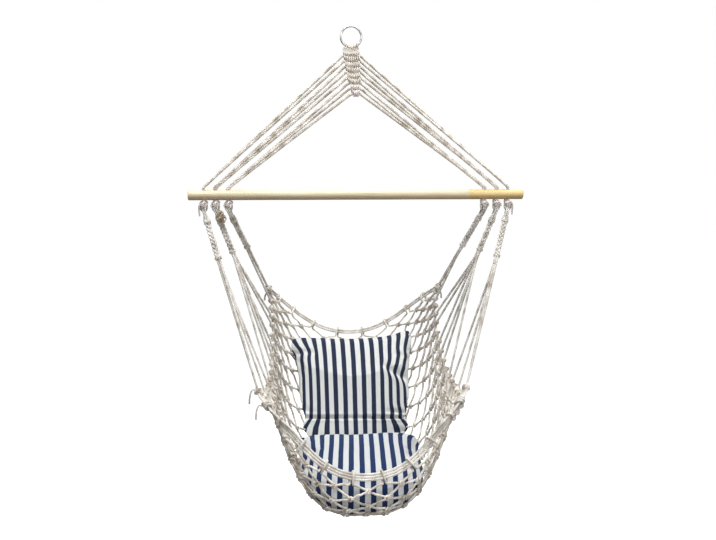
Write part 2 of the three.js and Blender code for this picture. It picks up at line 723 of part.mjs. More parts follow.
// A cushion in its own frame: drawn-in sides, a crowned face each way and a bend across its width.
function pillow({ length, thickness, frontWidth, rearWidth, bend }) {
  const positions = [];
  const index = [];
  const stepOf = (k) => Math.sin(Math.PI / 2 * (2 * k / cushionGrid - 1));
  for (const face of [1, -1]) {
    const first = positions.length / 3;
    for (let j = 0; j <= cushionGrid; j++) {
      for (let i = 0; i <= cushionGrid; i++) {
        const [a, b] = [stepOf(i), stepOf(j)];
        const half = THREE.MathUtils.lerp(frontWidth, rearWidth, (b + 1) / 2) / 2;
        const crown = Math.pow((1 - a ** 4) * (1 - b ** 4), cushionEdge);
        positions.push(a * half * (1 - drawnIn * (1 - b * b)), b * length / 2 * (1 - drawnIn * (1 - a * a)),
          face * crown * thickness / 2 + bend * a * a);
      }
    }
    for (let j = 0; j < cushionGrid; j++) {
      for (let i = 0; i < cushionGrid; i++) {
        const p = first + j * (cushionGrid + 1) + i;
        const [q, r, s] = [p + 1, p + cushionGrid + 2, p + cushionGrid + 1];
        if (face > 0) index.push(p, q, r, p, r, s);
        else index.push(p, r, q, p, s, r);
      }
    }
  }
  const geometry = new THREE.BufferGeometry();
  geometry.setAttribute('position', new THREE.Float32BufferAttribute(positions, 3));
  geometry.setIndex(index);
  return geometry;
}

// A block that takes away everything on one side of the leaning plane where the cushions meet.
function beyondSplit(side) {
  const size = seatLength + backLength + pocketDrop;
  const crease = hung(0, cushionSplit + slingSetback, creaseDrop);
  const block = new THREE.BoxGeometry(size, size, size).translate(0, side * (size / 2 - seatGap / 2), 0);
  return block.rotateX(-splitLean).translate(crease.x, crease.y, crease.z);
}

// Lays a cushion in the net: whatever would pass into the cords is pressed flat against them.
function settledCushion(form, tilt, centre, drop, side) {
  const place = hung(0, centre + slingSetback, drop);
  form.rotateX(tilt).translate(place.x, place.y, place.z);
  const pressed = toSolid(form).intersect(toSolid(pocketSpace()));
  return toGeometry(pressed.subtract(toSolid(beyondSplit(side))));
}

function seatCushion() {
  const form = pillow({ length: seatLength, thickness: seatThickness,
    frontWidth: seatWidthFront, rearWidth: seatWidthBack, bend: seatBend });
  const centre = cushionSplit + seatPress - seatLength / 2;
  return settledCushion(form, seatTilt, centre, seatDrop, 1);
}

function backCushion() {
  const form = pillow({ length: backLength, thickness: backThickness,
    frontWidth: backWidthBottom, rearWidth: backWidthTop, bend: backBend });
  return settledCushion(form, backTilt, backCentre, backDrop, -1);
}

// The whole chair
addPart('hanging_ring', hangingRing(), steel());
buildCrown();
addPart('spreader_bar', spreaderBar(), pine());
for (const side of Object.keys(sides)) {
  for (const leg of legNames) {
    addPart(`upper_cords_${side}_${leg}`, upperCords(side, leg), cotton());
    addPart(`bar_knot_${side}_${leg}`, barKnot(side, leg), cotton());
    addPart(`leg_${side}_${leg}`, plaitedLeg(side, leg), cotton());
    addPart(`whipping_upper_${side}_${leg}`, whipping(side, leg, eyeLength), twine());
    addPart(`whipping_lower_${side}_${leg}`, whipping(side, leg, plaitEnds[leg]), twine());
    addPart(`fan_${side}_${leg}`, legFan(side, leg), cotton());
  }
}
addPart(rearRow.name, rimRope(rearRow), cotton());
addPart(frontRow.name, rimRope(frontRow), cotton());
for (const name of ['net_back', 'net_seat', 'net_front', 'net_left_wall', 'net_right_wall']) {
  addPart(name, netPanel(name), cotton());
}
addPart('seat_cushion', seatCushion(), canvasCloth());
addPart('back_cushion', backCushion(), canvasCloth());

export default model;
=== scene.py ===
import math
import bmesh
import bpy
import numpy as np
from mathutils import Matrix, Vector
from mathutils.bvhtree import BVHTree


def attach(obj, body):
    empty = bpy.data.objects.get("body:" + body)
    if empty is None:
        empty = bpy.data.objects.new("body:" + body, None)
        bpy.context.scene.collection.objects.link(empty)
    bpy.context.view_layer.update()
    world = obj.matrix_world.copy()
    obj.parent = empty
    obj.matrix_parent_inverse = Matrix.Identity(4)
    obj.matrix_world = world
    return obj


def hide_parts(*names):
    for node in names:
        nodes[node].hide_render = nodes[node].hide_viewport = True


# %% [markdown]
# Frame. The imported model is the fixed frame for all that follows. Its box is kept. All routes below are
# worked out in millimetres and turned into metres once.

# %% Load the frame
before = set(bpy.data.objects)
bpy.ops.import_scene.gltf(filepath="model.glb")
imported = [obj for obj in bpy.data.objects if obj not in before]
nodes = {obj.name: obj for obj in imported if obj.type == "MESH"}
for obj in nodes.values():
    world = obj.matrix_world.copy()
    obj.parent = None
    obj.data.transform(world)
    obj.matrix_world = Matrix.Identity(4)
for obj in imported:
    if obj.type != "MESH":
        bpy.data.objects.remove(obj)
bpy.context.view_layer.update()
MM = 0.001
scene = bpy.context.scene
print("frame:", len(nodes), "nodes")

# %% [markdown]
# Camera. A camera fitted to the two ends of the spreader bar: about 45 mm of lens, 2.7 m in front of the
# chair, a little to its left and well above the seat, looking 7 degrees down.

# %% Camera
LENS, SENSOR_WIDTH = 45.25, 36
CAMERA_PLACE = (-0.214, -2.679, -0.382)
TURN, PITCH = math.radians(5), math.radians(7)


def place_camera(forward):
    data = bpy.data.cameras.new("camera")
    data.lens = LENS
    data.sensor_width = SENSOR_WIDTH
    made = bpy.data.objects.new("camera", data)
    made.location = CAMERA_PLACE
    made.rotation_euler = (-Vector(forward)).to_track_quat("Z", "Y").to_euler()
    scene.collection.objects.link(made)
    scene.camera = made


place_camera((math.sin(TURN) * math.cos(PITCH), math.cos(TURN) * math.cos(PITCH), -math.sin(PITCH)))
print("camera:", CAMERA_PLACE)

# %% [markdown]
# Node helpers. Every material and every geometry tree is wired by the same few functions. A value that is
# itself a socket becomes a link, and any other value is typed into the socket, so that one call adds a node
# with all that goes into it.

# %% Node helpers
def fill(tree, node, values):
    for key, value in values.items():
        if isinstance(value, bpy.types.NodeSocket):
            tree.links.new(value, node.inputs[key])
        else:
            node.inputs[key].default_value = value


def add(tree, kind, inputs=None, **settings):
    made = tree.nodes.new(kind)
    for key, value in settings.items():
        setattr(made, key, value)
    fill(tree, made, inputs or {})
    return made


def calc(tree, operation, *values):
    return add(tree, "ShaderNodeMath", dict(enumerate(values)), operation=operation).outputs[0]


def vector_of(tree, operation, inputs):
    return add(tree, "ShaderNodeVectorMath", inputs, operation=operation).outputs["Vector"]


def group_socket(tree, name, way, kind, value=None):
    made = tree.interface.new_socket(name=name, in_out=way, socket_type=kind)
    if value is not None:
        made.default_value = value


# %% [markdown]
# Material helpers. All finishes here are one plain shader whose colour, roughness and bump come from noise on
# the object's own coordinates. Tones are given as they look on a screen, from 0 to 255, and turned into the
# linear values that the shader takes.

# %% Material helpers
def colour(red, green, blue):
    def linear(v):
        v /= 255
        return v / 12.92 if v <= 0.04045 else ((v + 0.055) / 1.055) ** 2.4
    return (linear(red), linear(green), linear(blue), 1)


def new_material(name):
    made = bpy.data.materials.new(name)
    made.use_nodes = True
    tree = made.node_tree
    return made, tree, tree.nodes["Principled BSDF"]


def object_place(tree):
    return add(tree, "ShaderNodeTexCoord").outputs["Object"]


def noise(tree, place, scale, detail=2.0):
    return add(tree, "ShaderNodeTexNoise", {"Vector": place, "Scale": scale, "Detail": detail}).outputs["Fac"]


def mask(tree, value, start, end, top=1.0):
    """Nought before the start, rising evenly to the top at the end."""
    values = {"Value": value, "From Min": start, "From Max": end, "To Max": top}
    return add(tree, "ShaderNodeMapRange", values).outputs["Result"]


def ramp(tree, value, stops):
    made = add(tree, "ShaderNodeValToRGB", {"Fac": value})
    points = made.color_ramp.elements
    while len(points) < len(stops):
        points.new(0.5)
    for point, (place, tone) in zip(points, stops):
        point.position = place
        point.color = tone
    return made.outputs["Color"]


def blended(tree, share, first, second, way="MIX"):
    made = add(tree, "ShaderNodeMix", {0: share, 6: first, 7: second}, data_type="RGBA", blend_type=way)
    return made.outputs[2]


def bumped(tree, shader, height, distance, strength):
    bump = add(tree, "ShaderNodeBump", {"Height": height, "Distance": distance, "Strength": strength})
    fill(tree, shader, {"Normal": bump.outputs["Normal"]})


# %% [markdown]
# Yarns. The cords are soft laid cotton: fine yarns wind round every strand, fibres stand off them and the
# tone wanders. Several cord materials share this relief, so it is one group with named sockets. The yarns
# come from the strand's own run and turn, which the rope tree stores on the mesh, and so follow every bend.

# %% Yarn group
YARN_SHARE, FLUFF_SHARE = 0.7, 0.6
FLUFF_SCALE, BLOTCH_SCALE = 900.0, 38.0


def yarn_group():
    tree = bpy.data.node_groups.new("yarns", "ShaderNodeTree")
    group_socket(tree, "Pitch", "INPUT", "NodeSocketFloat", 0.005)
    group_socket(tree, "Yarns", "INPUT", "NodeSocketFloat", 4)
    group_socket(tree, "Height", "OUTPUT", "NodeSocketFloat")
    group_socket(tree, "Blotch", "OUTPUT", "NodeSocketFloat")
    given = add(tree, "NodeGroupInput").outputs
    run = add(tree, "ShaderNodeAttribute", attribute_name="run").outputs["Fac"]
    ring = add(tree, "ShaderNodeAttribute", attribute_name="ring").outputs["Vector"]
    parts = add(tree, "ShaderNodeSeparateXYZ", {0: ring}).outputs
    angle = calc(tree, "ARCTAN2", parts["Y"], parts["X"])
    wound = calc(tree, "MULTIPLY", calc(tree, "DIVIDE", run, given["Pitch"]), math.tau)
    wave = calc(tree, "SINE", calc(tree, "ADD", wound, calc(tree, "MULTIPLY", angle, given["Yarns"])))
    raised = calc(tree, "MULTIPLY_ADD", wave, 0.25, 0.5)
    place = object_place(tree)
    fluff = noise(tree, place, FLUFF_SCALE, 3.0)
    height = calc(tree, "MULTIPLY_ADD", fluff, FLUFF_SHARE, calc(tree, "MULTIPLY", raised, YARN_SHARE))
    add(tree, "NodeGroupOutput", {"Height": height, "Blotch": noise(tree, place, BLOTCH_SCALE, 4.0)})
    return tree


yarns = yarn_group()
print("yarn group:", len(yarns.nodes), "nodes")

# %% [markdown]
# Cord materials. One cotton is used throughout, but it looks different from place to place: darker and
# browner in the spare cord's knots as painted shade, paler where the crown is woven tight, with less painted
# shade, and with deeper painted shade in the long cords. The group's blotches mix a light and a shaded tone,
# and the hollows between the yarns take more of the shaded tone, as painted shade.

# %% Cord materials
LOW_BAND = (-0.150, -0.162)   # heights in metres between which the crown's cords take their lower tone
YARN_PITCH, TWINE_PITCH = 0.005, 0.003


def cord_material(name, light, shade, pitch=YARN_PITCH, low=None):
    made, tree, shader = new_material(name)
    group = add(tree, "ShaderNodeGroup", {"Pitch": pitch}, node_tree=yarns)
    height = group.outputs["Height"]
    tone = ramp(tree, group.outputs["Blotch"], [(0.32, shade), (0.62, light)])
    # painted shade: the hollows between the yarns take more of the shaded tone
    tone = blended(tree, calc(tree, "MULTIPLY_ADD", height, -0.6, 0.5), tone, shade)
    if low is not None:
        place = object_place(tree)
        level = add(tree, "ShaderNodeSeparateXYZ", {0: place}).outputs["Z"]
        level = calc(tree, "MULTIPLY_ADD", noise(tree, place, 60.0), 0.02, level)
        tone = blended(tree, mask(tree, level, *LOW_BAND), tone, low)
    fill(tree, shader, {"Base Color": tone, "Roughness": 0.92, "Sheen Weight": 0.25, "Sheen Roughness": 0.6})
    bumped(tree, shader, height, distance=0.0004, strength=0.9)
    return made


cotton = cord_material("cotton_cord", colour(238, 235, 228), colour(182, 173, 161))
net_cotton = cord_material("net_cord", colour(246, 241, 232), colour(174, 161, 144))
# painted shade: a darker, browner cord for the spare cord's bulky knots
shaded_knot_cotton = cord_material("knot_cord", colour(218, 207, 190), colour(152, 134, 108))
crown_cotton = cord_material("crown_cord", colour(248, 242, 232), colour(214, 202, 186),
                             low=colour(240, 230, 226))
twine = cord_material("whipping_twine", colour(242, 238, 230), colour(212, 203, 187), pitch=TWINE_PITCH)
print("cord materials:", ", ".join(m.name for m in (cotton, net_cotton, shaded_knot_cotton, crown_cotton, twine)))

# %% [markdown]
# Laid rope. A rope here is three strands that wind round each other along a route. Sweeping one profile along
# each strand by hand would take a mesh routine for every piece; one geometry tree does it for all, because
# only the route, the radius and the lay differ. The route comes in as the edges of a plain mesh. Each strand
# is a copy of the route, set off from it by an angle that grows with the length, and then swept.

# %% Rope tree
def stored(tree, geometry, name, value, kind):
    inputs = {"Geometry": geometry, "Name": name, "Value": value}
    return add(tree, "GeometryNodeStoreNamedAttribute", inputs, data_type=kind).outputs["Geometry"]


def rope_sockets(tree):
    group_socket(tree, "Geometry", "INPUT", "NodeSocketGeometry")
    for name, value in (("Radius", 0.003), ("Lay", 0.018), ("Step", 0.003), ("Strand Share", 0.5)):
        group_socket(tree, name, "INPUT", "NodeSocketFloat", value)
    group_socket(tree, "Strands", "INPUT", "NodeSocketInt", 3)
    group_socket(tree, "Sides", "INPUT", "NodeSocketInt", 5)
    group_socket(tree, "Material", "INPUT", "NodeSocketMaterial")
    group_socket(tree, "Geometry", "OUTPUT", "NodeSocketGeometry")


def rope_tree():
    tree = bpy.data.node_groups.new("laid_rope", "GeometryNodeTree")
    rope_sockets(tree)
    given = add(tree, "NodeGroupInput").outputs
    route = add(tree, "GeometryNodeMeshToCurve", {"Mesh": given["Geometry"]}).outputs["Curve"]
    even = add(tree, "GeometryNodeResampleCurve", {"Curve": route, "Length": given["Step"]}, mode="LENGTH")
    copies = add(tree, "GeometryNodeDuplicateElements",
                 {"Geometry": even.outputs["Curve"], "Amount": given["Strands"]}, domain="SPLINE")
    length = add(tree, "GeometryNodeSplineParameter").outputs["Length"]
    wound = calc(tree, "DIVIDE", length, given["Lay"])
    share = calc(tree, "DIVIDE", copies.outputs["Duplicate Index"], given["Strands"])
    angle = calc(tree, "MULTIPLY", calc(tree, "ADD", wound, share), math.tau)
    normal = add(tree, "GeometryNodeInputNormal").outputs["Normal"]
    tangent = add(tree, "GeometryNodeInputTangent").outputs["Tangent"]
    side = vector_of(tree, "CROSS_PRODUCT", {0: tangent, 1: normal})
    along = vector_of(tree, "SCALE", {0: normal, "Scale": calc(tree, "COSINE", angle)})
    beside = vector_of(tree, "SCALE", {0: side, "Scale": calc(tree, "SINE", angle)})
    reach = calc(tree, "MULTIPLY", given["Radius"], calc(tree, "SUBTRACT", 1.0, given["Strand Share"]))
    offset = vector_of(tree, "SCALE", {0: vector_of(tree, "ADD", {0: along, 1: beside}), "Scale": reach})
    laid = add(tree, "GeometryNodeSetPosition", {"Geometry": copies.outputs["Geometry"], "Offset": offset})
    strand = stored(tree, laid.outputs["Geometry"], "run",
                    add(tree, "GeometryNodeSplineParameter").outputs["Length"], "FLOAT")
    width = calc(tree, "MULTIPLY", given["Radius"], given["Strand Share"])
    circle = add(tree, "GeometryNodeCurvePrimitiveCircle", {"Resolution": given["Sides"], "Radius": width})
    place = add(tree, "GeometryNodeInputPosition").outputs["Position"]
    profile = stored(tree, circle.outputs["Curve"], "ring",
                     vector_of(tree, "NORMALIZE", {0: place}), "FLOAT_VECTOR")
    swept = add(tree, "GeometryNodeCurveToMesh",
                {"Curve": strand, "Profile Curve": profile, "Fill Caps": True}).outputs["Mesh"]
    soft = add(tree, "GeometryNodeSetShadeSmooth", {"Geometry": swept}).outputs["Geometry"]
    real = add(tree, "GeometryNodeRealizeInstances", {"Geometry": soft}).outputs["Geometry"]
    done = add(tree, "GeometryNodeSetMaterial", {"Geometry": real, "Material": given["Material"]})
    add(tree, "NodeGroupOutput", {"Geometry": done.outputs["Geometry"]})
    return tree


laid_rope = rope_tree()
print("rope tree:", len(laid_rope.nodes), "nodes")

# %% [markdown]
# From routes to ropes. A route is a row of points in millimetres. All routes of one thickness and finish go
# into one mesh of edges, whose modifier is the rope tree. The result is settled as a plain mesh, because only
# the evaluated shape is kept, and the sockets are set before anything is evaluated.

# %% Ropes from routes
def mesh_object(name, points, edges=(), faces=(), material=None):
    mesh = bpy.data.meshes.new(name)
    mesh.from_pydata([tuple(p) for p in points], edges, faces)
    if material:
        mesh.materials.append(material)
    made = bpy.data.objects.new(name, mesh)
    scene.collection.objects.link(made)
    return made


def settle(obj, name):
    """The evaluated shape of an object as a new plain mesh object, in place of the first one."""
    graph = bpy.context.evaluated_depsgraph_get()
    mesh = bpy.data.meshes.new_from_object(obj.evaluated_get(graph), depsgraph=graph)
    made = bpy.data.objects.new(name, mesh)
    scene.collection.objects.link(made)
    bpy.data.objects.remove(obj)
    return made


def ropes(name, routes, material, radius=3.0, lay=18.0, step=3.0, strands=3, sides=5):
    points, edges = [], []
    for route in routes:
        first = len(points)
        closed = np.linalg.norm(route[0] - route[-1]) < 1e-6
        kept = route[:-1] if closed else route
        points.extend(kept * MM)
        edges.extend((first + k, first + k + 1) for k in range(len(kept) - 1))
        if closed:
            edges.append((first + len(kept) - 1, first))
    obj = mesh_object(name + "_route", points, edges=edges)
    modifier = obj.modifiers.new("rope", "NODES")
    modifier.node_group = laid_rope
    values = {"Radius": radius * MM, "Lay": lay * MM, "Step": step * MM, "Strands": strands,
              "Sides": sides, "Material": material}
    for socket in laid_rope.interface.items_tree:
        if socket.item_type == "SOCKET" and socket.in_out == "INPUT" and socket.name in values:
            modifier[socket.identifier] = values[socket.name]
    obj.update_tag()
    return settle(obj, name)


# %% [markdown]
# Pieces and bodies. Ropes that move together are joined into one piece. Each finished piece then rides on
# its body and stands for the CAD nodes that it replaces.

# %% Joining and placing
def joined(name, *objects):
    for obj in bpy.context.selected_objects:
        obj.select_set(False)
    for obj in objects:
        obj.select_set(True)
    bpy.context.view_layer.objects.active = objects[0]
    bpy.ops.object.join()
    made = objects[0]
    made.name = name
    made.select_set(False)
    return made


def placed(obj, body, slot, *replaced):
    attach(obj, body)
    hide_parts(*replaced)
    print("piece:", obj.name, sum(len(p.vertices) - 2 for p in obj.data.polygons), "triangles")


# %% [markdown]
# Routes. Each rope follows a smooth curve through a few given points, sampled evenly along its length,
# so the helpers below are curves and frames and nothing else.

# %% Route helpers
CURVE_SAMPLES, BEZIER_SAMPLES = 10, 600


def unit(v):
    return np.asarray(v, float) / np.linalg.norm(v)


def lerp(a, b, t):
    return a + (b - a) * t


def by_length(path, shares):
    path = np.asarray(path, float)
    runs = np.concatenate([[0], np.cumsum(np.linalg.norm(np.diff(path, axis=0), axis=1))])
    wanted = np.asarray(shares) * runs[-1]
    return np.stack([np.interp(wanted, runs, path[:, k]) for k in range(path.shape[1])], 1)


def evenly(path, step):
    length = np.linalg.norm(np.diff(path, axis=0), axis=1).sum()
    return by_length(path, np.linspace(0, 1, max(2, round(length / step) + 1)))


def smooth(points, step=2.0):
    """A centripetal curve through the points, sampled every step."""
    def between(one, two, start, end, t):
        return ((end - t) * one + (t - start) * two) / (end - start)
    points = np.asarray(points, float)
    ends = np.vstack([2 * points[0] - points[1], points, 2 * points[-1] - points[-2]])
    out = [points[0]]
    for k in range(1, len(ends) - 2):
        p = ends[k - 1:k + 3]
        gaps = np.sqrt(np.linalg.norm(np.diff(p, axis=0), axis=1)) + 1e-9
        s = np.concatenate([[0], np.cumsum(gaps)])
        t = np.linspace(s[1], s[2], CURVE_SAMPLES + 1)[1:, None]
        a = [between(p[i], p[i + 1], s[i], s[i + 1], t) for i in range(3)]
        b = [between(a[i], a[i + 1], s[i], s[i + 2], t) for i in range(2)]
        out.extend(between(b[0], b[1], s[1], s[2], t))
    return evenly(np.array(out), step)


def bezier(points):
    a, b, c, d = (np.array(p, float) for p in points)
    t = np.linspace(0, 1, BEZIER_SAMPLES)[:, None]
    return a * (1 - t) ** 3 + 3 * b * t * (1 - t) ** 2 + 3 * c * t * t * (1 - t) + d * t ** 3


# %% [markdown]
# Knots and turns. Real knots tighten until their path can't be followed by eye, so a knot is a rope that
# winds over and under itself into a ball, with its turns and lobes chosen for each. A hitch or a binding is
# an open helix round what it holds.

# %% Knots and turns
KNOT_SAMPLES = 160
KNOT_STEP = 2.0
KNOT_CORE = 0.62      # middle of the way between a knot's heart and its skin, as a share of its radius


def ball_knot(centre, along, beside, radius, height, turns=2, lobes=3):
    """A rope wound over and under itself into a ball, as a closed route."""
    z = unit(along)
    x = unit(np.asarray(beside, float) - z * np.dot(beside, z))
    y = np.cross(z, x)
    t = np.linspace(0, math.tau, KNOT_SAMPLES)
    out = radius * (KNOT_CORE + (1 - KNOT_CORE) * np.cos(lobes * t))
    route = (np.outer(out * np.cos(turns * t), x) + np.outer(out * np.sin(turns * t), y)
             + np.outer(height / 2 * np.sin(lobes * t), z)) + np.asarray(centre, float)
    route[-1] = route[0]
    made = evenly(route, KNOT_STEP)
    made[-1] = made[0]
    return made


def helix(centre, one, two, along, radii, turns, length, samples=90):
    """Turns of cord round an axis through the centre. The radii are those along the sides one and two."""
    t = np.linspace(0, 1, samples)
    angle = math.tau * turns * t
    return (centre + np.outer(radii[0] * np.cos(angle), one) + np.outer(radii[1] * np.sin(angle), two)
            + np.outer(length * (t - 0.5), along))


# %% [markdown]
# Places. The net, the legs and the cushions are placed from the middle of the spreader bar, which hangs below
# the ring and a little to its right. What comes once for each leg is made by a loop over sides and legs,
# which also gives the names of the solids.

# %% Places
BAR_SHIFT, BAR_DROP = 20, 486
SETBACK = 23          # of the net's middle behind the bar
SIDES = {"left": -1, "right": 1}
LEGS = ("front", "middle", "back")
EACH = [(side, leg) for side in SIDES for leg in LEGS]


def hung(sideways, back, drop):
    return np.array([BAR_SHIFT + sideways, back, -BAR_DROP - drop], float)


def each(kind):
    return [f"{kind}_{side}_{leg}" for side, leg in EACH]


print("legs:", len(EACH))

# %% [markdown]
# Net surface. The net hangs from a rim at the back over a deep pocket to a rim at the front. A keel curve
# and two edge curves carry ribs, whose middles sag and whose ends rise, and the knots lie on those ribs.
# These are the same curves as the frame's, so each cord lies where its solid does.

# %% Net grid
ROWS, COLUMNS = 28, 18
EDGE_COLUMN = {"left": 0, "right": COLUMNS}
ROW_CROWDING = 0.3    # share by which the rows lie closer at the rims and wider in the pocket
KEEL_REAR, KEEL_LOW, KEEL_FRONT = np.array([[290, -487.0], [-190, -908], [-335, -777]])   # back, up
REAR_HANDLE_SHARES, FRONT_HANDLE_SHARES = [(0.156, 0.423), (0.646, 1)], [(0.759, 0), (1.345, 0.557)]
EDGE_REAR, EDGE_FRONT = np.array([[265, 130, -318.0], [282, -200, -564]])                 # outward, back, up
EDGE_WAIST = 256      # outward place of the edge curve's two handles
EDGE_HANDLE_SHARES = [(0.09, 0.496), (0.576, 0.923)]
REAR_WRAP, FRONT_WRAP = 6, 3.2           # powers by which a rib's ends come forward
RIM_SAG, POCKET_SAG = 2.2, 2             # powers by which its ends rise, at the rims and more in the pocket
RIB_SAMPLES = 401


def handles(start, end, shares):
    return [start + (end - start) * np.array(share) for share in shares]


def keel_path():
    first = bezier([KEEL_REAR, *handles(KEEL_REAR, KEEL_LOW, REAR_HANDLE_SHARES), KEEL_LOW])
    last = bezier([KEEL_LOW, *handles(KEEL_LOW, KEEL_FRONT, FRONT_HANDLE_SHARES), KEEL_FRONT])
    return np.vstack([first, last[1:]])


def edge_path():
    inner = [(EDGE_WAIST, *spot) for spot in handles(EDGE_REAR[1:], EDGE_FRONT[1:], EDGE_HANDLE_SHARES)]
    return bezier([EDGE_REAR, *inner, EDGE_FRONT])


def rib(share, keel, edge):
    middle = by_length(keel, [share])[0]
    end = by_length(edge, [share])[0]
    wrap = lerp(REAR_WRAP, FRONT_WRAP, share)
    sag = RIM_SAG + POCKET_SAG * math.sin(math.pi * share)
    t = np.linspace(0, 1, RIB_SAMPLES)
    path = np.stack([end[0] * t, middle[0] + (end[1] - middle[0]) * t ** wrap,
                     middle[1] + (end[2] - middle[1]) * t ** sag], 1)
    half = by_length(path, np.linspace(0, 1, COLUMNS // 2 + 1))
    whole = np.vstack([half[:0:-1] * [-1, 1, 1], half])
    return whole + [BAR_SHIFT, SETBACK, -BAR_DROP]


def net_grid():
    keel, edge = keel_path(), edge_path()
    crowding = [ROW_CROWDING * math.sin(math.tau * row / ROWS) / math.tau for row in range(ROWS + 1)]
    return np.array([rib(row / ROWS - crowding[row], keel, edge) for row in range(ROWS + 1)])


grid = net_grid()


def net_frame(row, column):
    """At a knot: the directions across the net, ahead to the next row, and inward to the sitter."""
    def pick(r, c):
        return grid[min(max(r, 0), ROWS)][min(max(c, 0), COLUMNS)]
    across = unit(pick(row, column + 1) - pick(row, column - 1))
    ahead = unit(pick(row + 1, column) - pick(row - 1, column))
    inward = unit(np.cross(ahead, across))
    return across, unit(np.cross(across, inward)), inward


print("net grid:", grid.shape, "lowest", round(grid[..., 2].min(), 1))

# %% [markdown]
# Corners. At both rims the last knots of the net lie against the rim's ropes, and the ropes end in a knot a
# little further out. The legs' cords end there too, so the places of those knots are worked out first.

# %% Rims and corners
KNOT_REACH = 6.5 / math.sqrt(2)
RIM_RADIUS, RIM_PITCH, RIM_CLEARANCE = 3.5, 7.5, 0.5
CORNER_REACH = 12
RIMS = {"back_rim": (0, -1, 2), "front_rim": (ROWS, 1, 3)}   # row, outward, cords


def rim_offset(cord):
    return KNOT_REACH + RIM_CLEARANCE + RIM_RADIUS + cord * RIM_PITCH


def corner_place(rim, side):
    row, outward, cords = RIMS[rim]
    column = EDGE_COLUMN[side]
    across, ahead, _ = net_frame(row, column)
    return (grid[row][column] + ahead * outward * rim_offset((cords - 1) / 2)
            + across * SIDES[side] * (CORNER_REACH + KNOT_REACH))


print("front corners:", [corner_place("front_rim", side).round(1).tolist() for side in SIDES])

# %% [markdown]
# Bights. The real net is knotted from cord that runs from one side to the other in a zigzag, hooked through
# the bights of the row before. At every knot a cord makes a bight that goes through its neighbour's, one leg
# over and one under, and at the first and last rows it loops round the rims.

# %% Bights and rim loops
NET_RADIUS = 3.6
BIGHT_TIP = [(-0.5, 0.3), (-0.2, 0.1), (0.2, -0.1), (0.5, -0.3)]   # across and out, in cord widths
LOOP_CLEARANCE = 0.3


def bight(row, column, side):
    """Points of one cord's bight at a knot. The cord comes from the row that side points to."""
    across, ahead, inward = net_frame(row, column)
    knot, width = grid[row][column], 2 * NET_RADIUS
    before, after = [unit(grid[row + side][column + step] - knot) * width for step in (-1, 1)]
    lift = inward * side * width
    tip = [knot - ahead * side * 0.72 * width + across * a * width + lift * n for a, n in BIGHT_TIP]
    return [knot + before * 2.1 + lift * 0.15, knot + before * 0.7 + lift * 0.6, *tip,
            knot + after * 0.7 - lift * 0.6, knot + after * 2.1 - lift * 0.15]


def rim_loop(row, column, side, cords):
    """Points of one cord's loop round the ropes of a rim."""
    across, ahead, inward = net_frame(row, column)
    knot, width = grid[row][column], 2 * NET_RADIUS
    out = -ahead * side
    rise = RIM_RADIUS + NET_RADIUS + LOOP_CLEARANCE
    last = rim_offset(cords - 1)
    spots = [(-0.7, -0.9 * width, 0.25 * rise), (-0.55, 0.1 * width, 0.75 * rise),
             (-0.4, rim_offset(0), rise), (-0.2, last, rise),
             (-0.1, last + RIM_RADIUS + 0.7 * NET_RADIUS, 0.62 * rise)]
    over = [knot + across * a * width + out * b + inward * n for a, b, n in spots]
    under = [knot - across * a * width + out * b - inward * n for a, b, n in reversed(spots)]
    return [*over, knot + out * (last + rise), *under]


# %% [markdown]
# Zigzag cords. Each row gap is one cord. Cords of a real net are never quite straight, so between two knots
# each sways a little sideways and droops outwards, by random shares that are fixed for each cord.

# %% Zigzag cords
SLACK = 0.055     # sideways sway of a cord between two knots, as a share of its length


def slack_points(start, end, inward, sway):
    """Two points on the way between two knots."""
    run = end - start
    beside = unit(np.cross(run, inward))
    slack = SLACK * np.linalg.norm(run)
    first, second, droop = sway
    return [lerp(start, end, at) + beside * slack * share - inward * slack * (0.5 + 0.3 * droop)
            for at, share in ((0.35, first), (0.7, second))]


def knot_points(row, column, side):
    if column in (0, COLUMNS):
        return [grid[row][column]]
    for rim_row, _, cords in RIMS.values():
        if row == rim_row:
            return rim_loop(row, column, side, cords)
    return bight(row, column, side)


def net_cord(gap):
    """One zigzag cord, with its points and the column that each of them belongs to."""
    points, places = [], []
    sway = np.random.default_rng(gap).uniform(-1, 1, (COLUMNS, 3))
    for column in range(COLUMNS + 1):
        row = gap if (gap + column) % 2 == 0 else gap + 1
        stretch = knot_points(row, column, 1 if row == gap else -1)
        if points:
            points.extend(slack_points(points[-1], stretch[0], net_frame(row, column)[2], sway[column - 1]))
            places.extend([column - 1] * 2)
        points.extend(stretch)
        places.extend([column] * len(stretch))
    return smooth(points, 1.5), points, places


# %% [markdown]
# Net panels. The solids divide the net into a back, a seat, a front and two walls, so each cord is cut at the
# walls and its stretches are given to the panels. The net's sides are held by hitches round the end knots,
# and the walls' cords, which look heavier than the others, are thicker.

# %% Net panels
WALL_COLUMNS, BACK_ROWS, POCKET_ROWS = 4, 11, 20   # where one panel of the net ends and the next begins
WALL_CUTS = (WALL_COLUMNS - 0.5, COLUMNS - WALL_COLUMNS + 0.5)
HITCH_RADIUS, HITCH_TURNS, HITCH_LENGTH = 5.2, 2.4, 9
WALL_EXTRA = 0.8      # added to the cord's radius in the walls


def panel_of(row, column):
    if column < WALL_COLUMNS:
        return "net_left_wall"
    if column > COLUMNS - WALL_COLUMNS:
        return "net_right_wall"
    if row <= BACK_ROWS:
        return "net_back"
    return "net_seat" if row <= POCKET_ROWS else "net_front"


